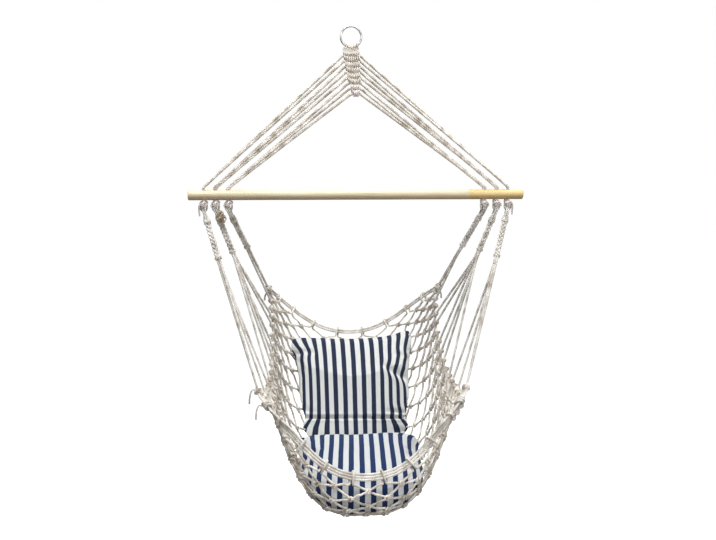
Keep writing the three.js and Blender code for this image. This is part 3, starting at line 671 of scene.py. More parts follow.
def net_routes():
    panels = {}
    for gap in range(ROWS):
        route, points, places = net_cord(gap)
        cuts = [0]
        for wall in WALL_CUTS:
            k = next(i for i, c in enumerate(places) if c > wall)
            k += places.count(places[k]) // 2
            cuts.append(int(np.argmin(np.linalg.norm(route - points[k], axis=1))))
        cuts.append(len(route) - 1)
        row = gap if gap < BACK_ROWS else gap + 1
        for k, column in enumerate((0, COLUMNS // 2, COLUMNS)):
            panels.setdefault(panel_of(row, column), []).append(route[cuts[k]:cuts[k + 1] + 1])
    return panels


def edge_hitch(row, column):
    across, ahead, inward = net_frame(row, column)
    radii = (HITCH_RADIUS, HITCH_RADIUS)
    return helix(grid[row][column], ahead, inward, across, radii, HITCH_TURNS, HITCH_LENGTH)


for panel, routes in net_routes().items():
    radius = NET_RADIUS
    if panel.endswith("wall"):
        radius += WALL_EXTRA
        column = EDGE_COLUMN["left" if "left" in panel else "right"]
        routes.extend(edge_hitch(row, column) for row in range(0, ROWS + 1, 2))
    placed(ropes(panel + "_cords", routes, net_cotton, radius=radius), "sling", "cotton", panel)

# %% [markdown]
# Cut ends. Where a rim's ropes are tied off, their cut ends stay outside the knot: two at each back corner,
# and two hooked ones at the left front corner. A hitch goes round all three ropes of the front rim near each
# of its ends.

# %% Rim ends
HITCH_PLACE = 26      # steps of 2 mm from a front corner knot to the hitch round the rim
BACK_TAILS = [(0.42, 0.3, -0.86), (0.3, 0.6, 0.2)]     # directions: outward, back, up
HOOKED_TAIL = [(0, 0, 0), (-8, -3, 4), (-14, -5, -6), (-17, -5, -21), (-18, -4, -38)]


def hooked_tail(start):
    """A cut end that stands out to the left and droops."""
    return smooth(start + np.array(HOOKED_TAIL, float))


def back_tail(start, sign, direction):
    """A straight cut end that bends at its tip, longer where it points down steeply."""
    outward, back, rise = direction
    run = unit([sign * outward, back, rise])
    bend = unit([-sign * 0.9, -0.2, -0.5])
    length = 12 + 40 * abs(rise)
    return smooth([start + run * length * a + bend * b for a, b in ((0, 0), (0.35, 0), (0.6, 0), (0.9, 5))])


def rim_hitch(lines):
    """Turns round all ropes of a rim, near the end at which the lines start."""
    middle = lines[1]
    along = unit(middle[HITCH_PLACE + 1] - middle[HITCH_PLACE - 1])
    beside = lines[2][HITCH_PLACE] - lines[0][HITCH_PLACE]
    beside = unit(beside - along * (beside @ along))
    return helix(middle[HITCH_PLACE], beside, np.cross(along, beside), along, (16, 8.5), turns=2.6, length=20)


# %% [markdown]
# Rims. The net's two free edges are bound to ropes that lie side by side, two at the back and three in front,
# and that end in a knot at each upper corner. At the right front corner a bundle of spare cord is left
# hanging, which is drawn as a few loose knots of thinner rope.

# %% Rims and corner knots
# Spare cord: place from the right front corner knot, tilt and turns of each loose knot
TANGLE = [((-17, -14, -34), 0.5, 3), ((-21, -14, -51), -0.4, 3), ((-31, -14, -67), 0.8, 3),
          ((-36, -13, -50), 0.2, 2), ((-42, -13, -84), 0.6, 3)]


def rim_lines(rim, corners):
    row, outward, cords = RIMS[rim]
    lines = []
    for cord in range(cords):
        line = [grid[row][c] + net_frame(row, c)[1] * outward * rim_offset(cord) for c in range(COLUMNS + 1)]
        lines.append(smooth([corners["left"], *line, corners["right"]]))
    return lines


def corner_cords(rim, side, corner, lines):
    """The knots and the cut ends at one corner of a rim."""
    sign = SIDES[side]
    across, ahead, inward = net_frame(RIMS[rim][0], EDGE_COLUMN[side])
    knots = [ball_knot(corner, across * sign + inward, ahead, radius=10.5, height=17),
             ball_knot(corner, inward, across, radius=9, height=12, turns=3, lobes=4)]
    if rim == "back_rim":
        return knots, [back_tail(corner, sign, direction) for direction in BACK_TAILS]
    lines = [line[::-sign] for line in lines]
    knots.append(rim_hitch(lines))
    if side == "right":
        return knots, []
    return knots, [hooked_tail(corner + [-8, 0, 3]), hooked_tail(lines[1][HITCH_PLACE] + [-14, -4, 0])]


def tangle(corner):
    return [ball_knot(corner + spot, (tilt, 0.2, 1), (0, 1, 0), radius=10.5, height=15, turns=turns, lobes=4)
            for spot, tilt, turns in TANGLE]


def rim_ropes(rim):
    corners = {side: corner_place(rim, side) for side in SIDES}
    lines = rim_lines(rim, corners)
    knots, tails = [], []
    for side, corner in corners.items():
        more_knots, more_tails = corner_cords(rim, side, corner, lines)
        knots.extend(more_knots)
        tails.extend(more_tails)
    parts = [ropes(rim + "_lay", lines, cotton, radius=3.9, lay=22, sides=6),
             ropes(rim + "_knots", knots, cotton, radius=3.9, lay=20, sides=6),
             ropes(rim + "_tails", tails, cotton, radius=3.3, lay=16, sides=6)]
    if rim == "front_rim":
        spare = tangle(corners["right"])
        parts.append(ropes(rim + "_tangle", spare, crown_cotton, radius=3.2, step=2.5, sides=6))
    return joined(rim + "_ropes", *parts)


for rim in RIMS:
    placed(rim_ropes(rim), "sling", "cotton", rim)

# %% [markdown]
# Leg frames. Each leg hangs by an eye from the loop under the bar and points at the knots that it carries, so
# its eye, plait and bindings are worked out in a frame of its own, with its length along one axis.

# %% Leg frames
INSETS = {"front": 45, "middle": 80, "back": 118}        # holes from the bar's end
FAN_ROWS = {"front": [22, 26], "middle": [6, 8, 12, 14, 16, 20], "back": [2]}
CORNER_CORDS = {"front": 2, "middle": 0, "back": 2}
BAR_HALF = 500
LOOP_DROP = 45.3      # from the bar's axis to the place where an eye bears on its loop


def hole_place(side, leg):
    return SIDES[side] * (BAR_HALF - INSETS[leg])


def leg_target(side, leg):
    if leg != "middle":
        return corner_place(leg + "_rim", side)
    return np.mean([grid[row][EDGE_COLUMN[side]] for row in FAN_ROWS["middle"]], axis=0)


def leg_frame(side, leg):
    """A function that brings points from the leg's own frame to their places, and the frame's lean."""
    top = hung(hole_place(side, leg), 0, LOOP_DROP)
    z = unit(top - leg_target(side, leg))
    x = unit(np.array([1, 0, 0]) - z * z[0])
    axes = np.array([x, np.cross(z, x), z])
    return lambda points: top + np.asarray(points, float) @ axes, x[0]


# %% [markdown]
# Plaits. Below its eye of two cords a leg is plaited flat in three, and bound with fine twine near the head
# and at the foot. A plait is three equal waves a third of a turn apart, with a second wave of twice the pace
# that carries each strand over and under the others.

# %% Plaits and bindings
PLAIT_ENDS = {"front": 150, "middle": 132, "back": 140}
PLAIT_HEAD, PLAIT_PITCH, PLAIT_HALF_WIDTH, PLAIT_HALF_DEPTH = 29, 40, 5.8, 3.0
EYE_RADIUS = 6.9
SHOULDER = [(2.5, 0, -19), (5.5, 1.5, -24), (6.8, 0, -31), (4.5, 0, -40)]   # the plait's outer cords
BINDING_HEAD, BINDING_RADII, BINDING_TURNS, BINDING_LENGTH = 38, (9.7, 7.3), 4.2, 8


def eye_route(lean):
    r = EYE_RADIUS / lean
    half = [(0, -2.6, -34), (0, -3.15, -29), (0, -r, -2 * r), (0, -r, 0), (0, -0.71 * r, 0.71 * r)]
    return smooth(half + [(0, 0, r)] + [(0, -y, z) for _, y, z in reversed(half)], 1.5)


def plait_strand(foot, share):
    depth = np.linspace(PLAIT_HEAD, foot + 3, 80)
    draw = np.clip((depth - 26) / 8, 0.35, 1)     # the strands come together at the plait's head
    phase = math.tau * (depth / PLAIT_PITCH + share)
    return np.stack([PLAIT_HALF_WIDTH * draw * np.sin(phase),
                     PLAIT_HALF_DEPTH * draw * np.sin(2 * phase), -depth], 1)


def leg_routes(side, leg):
    """The eye, the plait and its two bindings."""
    frame_of, lean = leg_frame(side, leg)
    foot = PLAIT_ENDS[leg]
    eye = eye_route(lean)
    plait = [plait_strand(foot, k / 3) for k in range(3)]
    plait += [smooth(np.array(SHOULDER) * [out, out, 1]) for out in (-1, 1)]
    x, y, z = np.eye(3)
    bindings = [helix(-middle * z, x, y, z, BINDING_RADII, BINDING_TURNS, BINDING_LENGTH, samples=150)
                for middle in (BINDING_HEAD, foot)]
    eyes = [eye + [shift, 0, 0] for shift in (-2.9, 2.9)]
    return [[frame_of(route) for route in routes] for routes in (eyes, plait, bindings)]


# %% [markdown]
# Fans. From the foot of its plait each leg's cords fan out to the knots along the net's side, and the front
# and back legs also to the corner knots. The cords start side by side, each turned a little against the next.

# %% Fans
FAN_TWIST, CORNER_SPREAD = 3.4, 4.6


def fan_routes(side, leg):
    frame_of, _ = leg_frame(side, leg)
    ends = [grid[row][EDGE_COLUMN[side]] for row in FAN_ROWS[leg]]
    corner = [leg_target(side, leg)] * CORNER_CORDS[leg]
    ends = corner + ends if leg == "back" else ends + corner
    foot = PLAIT_ENDS[leg]
    routes = []
    for k, end in enumerate(ends):
        share = 1 - 2 * k / (len(ends) - 1)
        twist = FAN_TWIST * math.sin(2.4 * k)
        start = frame_of([[twist * 0.6, 2.4 * share, -foot + 9], [twist, 3.2 * share, -foot],
                          [twist, 4.2 * share, -foot - 9]])
        away = unit(start[-1] - end)
        side_by_side = leg == "back" or k >= len(FAN_ROWS[leg])
        shift = np.array([0, CORNER_SPREAD * share * side_by_side, 0])
        routes.append(smooth([*start, end + away * 16 + shift, end + shift - away * 2]))
    return routes


# %% [markdown]
# Legs. All legs' cords of one thickness are made together. The left middle leg also carries a bundle of spare
# cord near its head, painted darker and browner than the rest as shade in its bulky knots.

# %% Legs, bindings and fans
# Spare cord: place in the leg's frame, axis, side, radius, height, turns and lobes of each knot
SPARE = [((7, -3, -14), (0.3, 0, 1), (0, 1, 0), 9.5, 20, 2, 5),
         ((9, -2, -30), (0.1, 0.3, 1), (1, 0, 0), 10, 18, 3, 4),
         ((3, -4, -23), (0.5, 0.2, 1), (1, 1, 0), 11, 22, 2, 3)]


def spare_cord():
    frame_of, _ = leg_frame("left", "middle")
    return [ball_knot(frame_of([spot])[0], *shape) for spot, *shape in SPARE]


eyes, plaits, bindings, fans = [], [], [], []
for side, leg in EACH:
    eye, plait, binding = leg_routes(side, leg)
    eyes.extend(eye)
    plaits.extend(plait)
    bindings.extend(binding)
    fans.extend(fan_routes(side, leg))
legs = joined("plaited_legs", ropes("eyes", eyes, cotton, radius=2.9, lay=16, step=2.0, sides=6),
              ropes("plaits", plaits, cotton, radius=3.8, lay=15, step=2.0),
              ropes("spare_cord", spare_cord(), shaded_knot_cotton, step=2.5, sides=6))
placed(legs, "sling", "cotton", *each("leg"))
whippings = ropes("whipping_turns", bindings, twine, radius=1.2, lay=6, step=1.5, strands=2)
placed(whippings, "sling", "twine", *each("whipping_upper"), *each("whipping_lower"))
placed(ropes("fan_cords", fans, cotton, radius=4.2), "sling", "cotton", *each("fan"))

# %% [markdown]
# Knots under the bar. The cords that come down through a hole of the bar are tied off in a fat stopper knot,
# from which a loop hangs that carries the leg's eye, and one cut tail stays out.

# %% Bar knots
KNOT_DROP = 15.3
TAIL_DROP = {"front": 38, "middle": 12, "back": 12}
LOOP = [(-4, 0, -8), (-8.6, 0, -14), (-9, 0, -24), (-6, 0, -29.4), (0, 0, -30),
        (6, 0, -29.4), (9, 0, -24), (8.6, 0, -14), (4, 0, -8)]


def bar_knot_routes(side, leg):
    top = hung(hole_place(side, leg), 0, KNOT_DROP)
    out = SIDES[side]
    loop = smooth(top + np.array(LOOP, float), 1.5)
    ball = ball_knot(top + [0, 0, -9.5], (out * 0.5, 0, 1), (1, 0.3, 0), radius=11.5, height=11)
    core = ball_knot(top + [0, 0, -11], (-out * 0.4, 0.5, 1), (0, 1, 0), radius=9, height=15,
                     turns=3, lobes=4)
    spots = [(0, -2, -8), (out * 9, -5, -9), (out * 13, -6, -15), (out * 12, -6, -8 - TAIL_DROP[leg])]
    tail = smooth(top + np.array(spots, float))
    return [loop], [ball, core], [tail]


loops, balls, cut = [], [], []
for side, leg in EACH:
    for kept, made in zip((loops, balls, cut), bar_knot_routes(side, leg)):
        kept.extend(made)
knots = joined("bar_knot_cords", ropes("knot_loops", loops, cotton, radius=3.3, step=2.0, sides=6),
               ropes("knot_balls", balls, crown_cotton, radius=3.4, step=2.5, sides=6),
               ropes("knot_tails", cut, cotton, radius=2.8, lay=15, sides=6))
placed(knots, "crown_and_bar", "cotton", *each("bar_knot"))

# %% [markdown]
# Crown. Eight cords are looped over the ring and woven flat: in each of the eight rows the front legs of the
# loops change places with the back legs. That weave is what gives the bands of upright cords with a dark,
# smiling crease between them. It narrows towards its foot, hangs slightly to the right, and its outer cords
# end sooner than the others.

# %% Crown loops
CROWN_TOP, CROWN_LENGTH, CROWN_ROWS, CROWN_SHIFT = 66.6, 128, 8, 14
CROWN_HALVES = (25, 15)                       # half widths at the top and at the foot
LOOP_COUNT, LOOP_PITCH, LOOP_RADIUS, WIRE_CLEARANCE = 8, 5, 2.3, 0.7
LOOP_MIDDLE = (LOOP_COUNT - 1) / 2
WEAVE_DEPTH = 6.9
CROWN_END_SHARES = {0: 0.70, 1: 0.95}         # of the two outermost cords on each side
FULL_END_SHARE = 1.03                         # of the others
RING_RADIUS, WIRE_RADIUS = 30, 3
HOLE_RADIUS = RING_RADIUS - WIRE_RADIUS
RING_LEAN = math.radians(20)                  # the loops stay clear of the wire when the chair swings so far


def crown_half(share):
    return lerp(*CROWN_HALVES, share)


def crown_leg(place, front):
    """One leg of a loop, from the ring's wire down through the rows."""
    across = (place - LOOP_MIDDLE) / LOOP_MIDDLE
    last = CROWN_END_SHARES.get(min(place, LOOP_COUNT - 1 - place), FULL_END_SHARE)
    share = np.linspace(0, last, 150)
    x = CROWN_SHIFT * share + across * (crown_half(share) - 2.6) + 0.7 * front
    phase = share + 0.035 * across ** 2 - 0.008
    wave = np.sin(math.pi * CROWN_ROWS * phase)
    y = np.sign(wave) * np.abs(wave) ** 0.55
    y = np.where(phase < 0.5 / CROWN_ROWS, np.maximum(y, 0.75), y)
    y = y * np.clip((last - share) / 0.03, 0, 1)
    return np.stack([x, front * WEAVE_DEPTH * y, -CROWN_TOP - CROWN_LENGTH * share], 1)


def crown_loop(place):
    offset = (place - LOOP_MIDDLE) * LOOP_PITCH
    rise = RING_RADIUS - math.sqrt(RING_RADIUS ** 2 - offset ** 2)
    half = WIRE_RADIUS + WIRE_CLEARANCE + LOOP_RADIUS + rise * math.sin(RING_LEAN)
    outer = abs(offset) + LOOP_RADIUS
    inside = -HOLE_RADIUS - math.sqrt(HOLE_RADIUS ** 2 - outer ** 2)
    top = inside + 0.3 + 1.4 * min(1, rise / 6) + LOOP_RADIUS
    arch = [(offset, -half * math.cos(angle), top - half + half * math.sin(angle))
            for angle in np.linspace(0, math.pi, 9)]
    return np.vstack([crown_leg(place, -1)[::-1], arch, crown_leg(place, 1)])


crown_routes = [evenly(smooth(crown_loop(k), 1.0), 1.5) for k in range(LOOP_COUNT)]
print("crown loops:", len(crown_routes))

# %% [markdown]
# Cross cords. Between the front and the back legs of the loops, one cord goes through each row of the crown,
# leaves it at both sides and runs down to a hole of the bar. The upper rows go to the front legs' holes, the
# next to the middle ones and the last to the back ones, so the cords don't cross.

# %% Cross cords
HOLE_CORDS = {"front": 2, "middle": 3, "back": 3}
ROW_HOLES = [(leg, k) for leg in LEGS for k in range(HOLE_CORDS[leg])]
HOLE_SPREAD = 3.4     # from the middle of a hole to each of its cords
ROW_PLACE = 0.78      # where in a row its cross cord goes through


def cross_cord(row):
    """One cord from a hole on the left through a row of the crown to a hole on the right."""
    leg, k = ROW_HOLES[row]
    angle = math.radians(90 + 360 * k / HOLE_CORDS[leg])
    dx, dy = HOLE_SPREAD * math.cos(angle), HOLE_SPREAD * math.sin(angle)
    share = (row + ROW_PLACE) / CROWN_ROWS
    middle = np.array([CROWN_SHIFT * share, 0, -CROWN_TOP - CROWN_LENGTH * share])
    edge = crown_half(share) + 3.0
    halves = []
    for side, sign in SIDES.items():
        hole = hung(hole_place(side, leg) + dx, dy, 0)
        out = middle + [sign * edge, 0, -3.5]
        above = hole + [0, 0, 22]
        along = unit(above - out)
        halves.append([middle + [sign * edge * 0.5, 0, 0], out, out + along * 18, above - along * 20,
                       hole + [0, 0, 20], hole + [0, 0, 4], hole + [0, 0, -16],
                       hole + [-dx * 0.4, -dy * 0.4, -24]])
    return smooth([*halves[0][::-1], *halves[1]])


crown = ropes("crown_weave", crown_routes, crown_cotton, radius=2.35, lay=14, step=1.8)
upper = ropes("cross_cords", [cross_cord(row) for row in range(CROWN_ROWS)], net_cotton, radius=4.4)
placed(joined("crown_cords", crown, upper), "crown_and_bar", "cotton", "crown_core",
       *[f"crown_band_{k}" for k in range(1, CROWN_ROWS + 1)], *each("upper_cords"))

# %% [markdown]
# Ring. A bent steel wire, closed by a weld that leaves a slight lump. The wire is brushed and has darker
# patches where it has been handled. A torus has no lump, so the wire is a skin over rings of points whose
# radius swells at the weld. The bar below is made by the same skin, with its ends closed.

# %% Ring steel
def steel_material():
    made, tree, shader = new_material("ring_steel")
    place = object_place(tree)
    patch = noise(tree, place, 70.0, 5.0)
    tone = ramp(tree, patch, [(0.35, colour(150, 148, 144)), (0.6, colour(222, 221, 218))])
    roughness = calc(tree, "MULTIPLY_ADD", patch, 0.3, 0.2)
    fill(tree, shader, {"Base Color": tone, "Metallic": 1, "Roughness": roughness})
    bumped(tree, shader, noise(tree, place, 1400.0), distance=0.00008, strength=0.6)
    return made


steel = steel_material()
print("ring material:", steel.name)

# %% [markdown]
# Skin. Each ring of points is joined to the next by a band of quads. Faces that are typed in by hand can
# point either way, so they are all turned outwards at the end.

# %% Skin over rings of points
def skin(name, rings, material, capped):
    """A skin over rings of points in millimetres, capped at its ends or else closed on itself."""
    count, sides = rings.shape[:2]
    bands = count - 1 if capped else count
    faces = [(i * sides + j, i * sides + (j + 1) % sides, (i + 1) % count * sides + (j + 1) % sides,
              (i + 1) % count * sides + j) for i in range(bands) for j in range(sides)]
    if capped:
        faces += [tuple(range(sides)), tuple(range(bands * sides, count * sides))]
    made = mesh_object(name, rings.reshape(-1, 3) * MM, faces=faces, material=material)
    turned = bmesh.new()
    turned.from_mesh(made.data)
    bmesh.ops.recalc_face_normals(turned, faces=turned.faces)
    turned.to_mesh(made.data)
    turned.free()
    made.data.shade_smooth()
    return made


# %% [markdown]
# Wire. The ring stands upright, with the top of its hole at the origin, and its weld is near the top on the
# right. The weld's lump has five low ridges round the wire.

# %% Ring wire
WELD_ANGLE, WELD_WIDTH = 0.9, 0.09
WELD_LUMP, WELD_RIDGES = 0.10, 5


def ring_rings():
    turns = np.linspace(0, math.tau, 161)[:-1]
    around = np.linspace(0, math.tau, 25)[:-1]
    rings = []
    for angle in turns:
        lump = WELD_LUMP * np.exp(-((angle - WELD_ANGLE) / WELD_WIDTH) ** 2)
        radius = WIRE_RADIUS * (1 + lump * (1 + 0.35 * np.sin(WELD_RIDGES * around)))
        out = RING_RADIUS + radius * np.cos(around)
        rings.append(np.stack([out * math.cos(angle), radius * np.sin(around),
                               out * math.sin(angle) - HOLE_RADIUS], 1))
    return np.array(rings)


placed(skin("welded_ring", ring_rings(), steel, capped=False), "ring", "steel", "hanging_ring")

# %% [markdown]
# Bar wood. Pale softwood with the grain along the bar in thin darker lines, a yellower last piece on the
# right, and an underside painted browner as shade. Stretching the noise along the bar gives lines instead of
# blotches.

# %% Bar wood
LAST_PIECE = 0.355        # metres from the ring's middle
# heights in metres over which the bar's underside is painted browner, as shade
UNDERSIDE_SHADE = (-BAR_DROP * MM, -(BAR_DROP + 15) * MM)


def wood_material():
    made, tree, shader = new_material("bar_wood")
    place = object_place(tree)
    long = add(tree, "ShaderNodeMapping", {"Vector": place, "Scale": (1.2, 26, 26)}).outputs["Vector"]
    grain = add(tree, "ShaderNodeTexNoise", {"Vector": long, "Scale": 9.0, "Detail": 6.0, "Roughness": 0.62})
    grain = grain.outputs["Fac"]
    fine = add(tree, "ShaderNodeMapping", {"Vector": place, "Scale": (6, 300, 300)}).outputs["Vector"]
    fibre = noise(tree, fine, 6.0, 3.0)
    parts = add(tree, "ShaderNodeSeparateXYZ", {0: place}).outputs
    last = calc(tree, "GREATER_THAN", parts["X"], LAST_PIECE)
    tone = ramp(tree, grain, [(0.30, colour(200, 182, 146)), (0.48, colour(216, 205, 176)),
                              (0.66, colour(222, 216, 192))])
    tone = blended(tree, calc(tree, "MULTIPLY", fibre, 0.25), tone, colour(208, 182, 138))
    tone = blended(tree, calc(tree, "MULTIPLY", last, 0.8), tone, colour(218, 190, 122))
    # painted shade: the bar turns brown below its axis
    tone = blended(tree, mask(tree, parts["Z"], *UNDERSIDE_SHADE, top=0.75), tone, colour(150, 108, 58))
    fill(tree, shader, {"Base Color": tone, "Roughness": calc(tree, "MULTIPLY_ADD", fibre, 0.25, 0.42)})
    height = calc(tree, "MULTIPLY_ADD", grain, 0.5, fibre)
    bumped(tree, shader, height, distance=0.00025, strength=0.5)
    return made


wood = wood_material()
print("bar material:", wood.name)

# %% [markdown]
# Spreader bar. A turned rod with softened ends and six drilled holes. It could be a cylinder with a bevel,
# but a turned rod is a little uneven, so it is a profile of radii along the bar. The holes are a boolean cut,
# because their rims show where the cords go in.

# %% Spreader bar
BAR_RADIUS, BAR_SIDES = 15, 56
BAR_WAVE = 0.05           # unevenness of the turning
END_PROFILE = [(-BAR_HALF, 12.6), (-499.3, 13.9), (-498.2, 14.6), (-496.5, 14.95)]
DRILL_RADIUS, DRILL_LENGTH = 7, 40


def turned_rings():
    body = [(x, BAR_RADIUS + BAR_WAVE * math.sin(x / 37)) for x in np.linspace(-490, 490, 50)]
    profile = END_PROFILE + body + [(-x, r) for x, r in reversed(END_PROFILE)]
    angles = math.tau * np.arange(BAR_SIDES) / BAR_SIDES
    return np.array([hung(x, 0, 0) + np.stack([0 * angles, r * np.cos(angles), r * np.sin(angles)], 1)
                     for x, r in profile])


def drills():
    made = bmesh.new()
    for side, leg in EACH:
        foot = Matrix.Translation(Vector(hung(hole_place(side, leg), 0, 0)) * MM)
        bmesh.ops.create_cone(made, segments=32, radius1=DRILL_RADIUS * MM, radius2=DRILL_RADIUS * MM,
                              depth=DRILL_LENGTH * MM, cap_ends=True, matrix=foot)
    obj = mesh_object("drills", [])
    made.to_mesh(obj.data)
    made.free()
    return obj


def drilled_bar():
    bar = skin("turned_bar", turned_rings(), wood, capped=True)
    cutter = drills()
    cut_holes = bar.modifiers.new("holes", "BOOLEAN")
    cut_holes.operation = "DIFFERENCE"
    cut_holes.object = cutter
    made = settle(bar, "turned_bar")
    bpy.data.objects.remove(cutter)
    made.data.shade_smooth()
    made.data.set_sharp_from_angle(angle=math.radians(40))
    return made


placed(drilled_bar(), "crown_and_bar", "pine", "spreader_bar")

# %% [markdown]
# Canvas. The pillows' covers are striped cotton canvas. The stripes are woven in, so they follow the cloth as
# it was cut and not the room: they read the cloth coordinates that each cover stores, one unit for a pair of
# stripes. They wander a little, both tones are worn, and warp and weft show close up.

# %% Cushion material
WARP_COUNT = 30           # threads of the weave in one pair of stripes
STRIPE_SHIFT, STRIPE_WANDER = 0.025, 0.05
WORN_BLUE, WORN_PALE = 1.9, 0.75
WEAVE_SHADE = (0.84, 0.84, 0.85, 1)


def scaled_tone(tone, factor):
    return tuple(min(1, factor * v) for v in tone[:3]) + (1,)


def wave_of(tree, operation, value, count):
    return calc(tree, operation, calc(tree, "MULTIPLY", value, math.tau * count))


def canvas_material(name, blue, pale):
    made, tree, shader = new_material(name)
    cloth = add(tree, "ShaderNodeAttribute", attribute_name="cloth").outputs["Vector"]
    parts = add(tree, "ShaderNodeSeparateXYZ", {0: cloth}).outputs
    place = object_place(tree)
    across = calc(tree, "MULTIPLY_ADD", noise(tree, place, 14.0), STRIPE_WANDER, parts["X"])
    stripe = mask(tree, wave_of(tree, "COSINE", calc(tree, "SUBTRACT", across, STRIPE_SHIFT), 1), -0.05, 0.15)
    worn = noise(tree, place, 26.0, 5.0)
    dark = blended(tree, calc(tree, "MULTIPLY", worn, 0.35), blue, scaled_tone(blue, WORN_BLUE))
    light = blended(tree, calc(tree, "MULTIPLY", worn, 0.3), pale, scaled_tone(pale, WORN_PALE))
    tone = blended(tree, stripe, light, dark)
    weave = calc(tree, "MULTIPLY", wave_of(tree, "SINE", parts["X"], WARP_COUNT),
                 wave_of(tree, "SINE", parts["Y"], WARP_COUNT))
    tone = blended(tree, calc(tree, "MULTIPLY_ADD", weave, 0.5, 0.5), tone, WEAVE_SHADE, "MULTIPLY")
    fill(tree, shader, {"Base Color": tone, "Roughness": 0.9, "Specular IOR Level": 0.2,
                        "Sheen Weight": 0.04})
    slub = noise(tree, place, 420.0, 3.0)
    height = calc(tree, "MULTIPLY_ADD", slub, 0.8, calc(tree, "MULTIPLY", weave, 0.3))
    bumped(tree, shader, height, distance=0.0005, strength=0.5)
    return made


navy = canvas_material("back_canvas", colour(34, 41, 62), colour(223, 225, 222))
royal = canvas_material("seat_canvas", colour(23, 41, 79), colour(207, 210, 209))
print("cushion materials:", navy.name, royal.name)

# %% [markdown]
# Cushion frames. Two loose pillows lie in the net, the seat's tilted a little and the back's leaning far
# back. What shapes a cover is easiest to say across the pillow, along it and through its thickness, so points
# are turned into that frame, shaped there and turned back.

# %% Cushion frames
# Tilt in degrees, middle's place back and drop, length, width at the front and at the rear, pitch of a pair
# of stripes, and how the stripes turn and flare along the pillow
CUSHIONS = {
    "seat_cushion": dict(tilt=8, back=-117, drop=829, length=402, front=424, rear=404, pitch=30.6,
                         turn=0.075, flare=0.03),
    "back_cushion": dict(tilt=49.5, back=162, drop=637, length=402, front=376, rear=446, pitch=30.8,
                         turn=0, flare=0),
}


def cushion_axes(facts):
    tilt = math.radians(facts["tilt"])
    return np.array([[1, 0, 0], [0, math.cos(tilt), math.sin(tilt)], [0, -math.sin(tilt), math.cos(tilt)]])


def local_points(points, facts):
    return (points - hung(0, facts["back"], facts["drop"])) @ cushion_axes(facts).T


def world_points(local, facts):
    return local @ cushion_axes(facts) + hung(0, facts["back"], facts["drop"])


def mesh_values(items, key):
    flat = np.empty(len(items) * 3)
    items.foreach_get(key, flat)
    return flat.reshape(-1, 3)


def mesh_points(obj):
    return mesh_values(obj.data.vertices, "co")


def set_points(obj, points):
    obj.data.vertices.foreach_set("co", points.ravel())
    obj.data.update()


print("cushions:", ", ".join(CUSHIONS))

# %% [markdown]
# Swelling. The pillows' solids carry the settled shape, pressed against the net and against each other. A
# copy is remeshed evenly and blown up a little as cloth, so that the cover swells all over. The swelling is
# capped, so that the cover stays near its solid.

# %% Swelling
VOXEL, SWELLING_CAP = 0.005, 0.008            # metres
PRESSURE, SWELLING_FRAMES = 4.0, 20
CLOTH_STIFFNESS, CLOTH_BENDING = 18, 0.6


def remeshed(node, name):
    obj = bpy.data.objects.new(name, node.data.copy())
    scene.collection.objects.link(obj)
    modifier = obj.modifiers.new("remesh", "REMESH")
    modifier.mode = "VOXEL"
    modifier.voxel_size = VOXEL
    return settle(obj, name)


def blown_up(obj):
    start = mesh_points(obj)
    modifier = obj.modifiers.new("cloth", "CLOTH")
    settings = modifier.settings
    settings.use_pressure = True
    settings.uniform_pressure_force = PRESSURE
    settings.tension_stiffness = CLOTH_STIFFNESS
    settings.compression_stiffness = CLOTH_STIFFNESS
    settings.bending_stiffness = CLOTH_BENDING
    settings.effector_weights.gravity = 0
    modifier.point_cache.frame_start = 1
    modifier.point_cache.frame_end = SWELLING_FRAMES
    for number in range(1, SWELLING_FRAMES + 1):
        scene.frame_set(number)
    made = settle(obj, obj.name)
    scene.frame_set(1)
    moved = mesh_points(made) - start
    reach = np.linalg.norm(moved, axis=1, keepdims=True)
    set_points(made, start + moved * np.minimum(1, SWELLING_CAP / np.maximum(reach, 1e-9)))
    return made


def finer(obj, name):
    modifier = obj.modifiers.new("finer", "SUBSURF")
    modifier.levels = 1
    modifier.render_levels = 1
    return settle(obj, name)


# %% [markdown]
# Cushion shapes. A stuffed cover pulls its long sides in and leaves its corners standing out as ears. The
# back pillow's foot spreads where it rests on the seat, with a sharp step in from there, and the seat pillow
# crowns up in its middle. These are broad pushes on the cover's points, in the pillow's own frame.

# %% Cushion shapes
EARS = [((-210, 190), (-20, -12)), ((214, 196), (17, 19))]        # corner of the back pillow, push
EAR_REACH, EAR_THICKNESS = 62, 14
FLARE_PLACES = [-201, -165, -132, -104, -60, 20, 100, 160]        # along the back pillow
FLARE = [84, 72, 44, -4, -10, -12, -8, 0]                         # outward push on its sides there
PUCKER_PITCH, PUCKER_HEIGHT = 46, 1.6
SEAT_CORNER, SEAT_CORNER_REACH, SEAT_CORNER_PUSH = (195, 175), 75, 34
SEAT_CROWN = 7


def bell(x, y, spot, reach):
    return np.exp(-((x - spot[0]) / reach) ** 2 - ((y - spot[1]) / reach) ** 2)


def shaped_back(local, up):
    x, y = local[:, 0].copy(), local[:, 1].copy()
    side = np.sign(x) * np.clip((np.abs(x) - 70) / 120, 0, 1) ** 1.5
    local[:, 0] += side * np.interp(y, FLARE_PLACES, FLARE)
    for spot, push in EARS:
        near = bell(x, y, spot, EAR_REACH)
        local[:, :2] += np.outer(near, push)
        local[:, 2] -= 0.22 * near * (local[:, 2] - EAR_THICKNESS)
    pucker = np.sin(math.tau * y / PUCKER_PITCH + 0.6 * np.sign(x))
    local[:, 2] += PUCKER_HEIGHT * np.clip((np.abs(x) - 150) / 50, 0, 1) * pucker * up
    return local


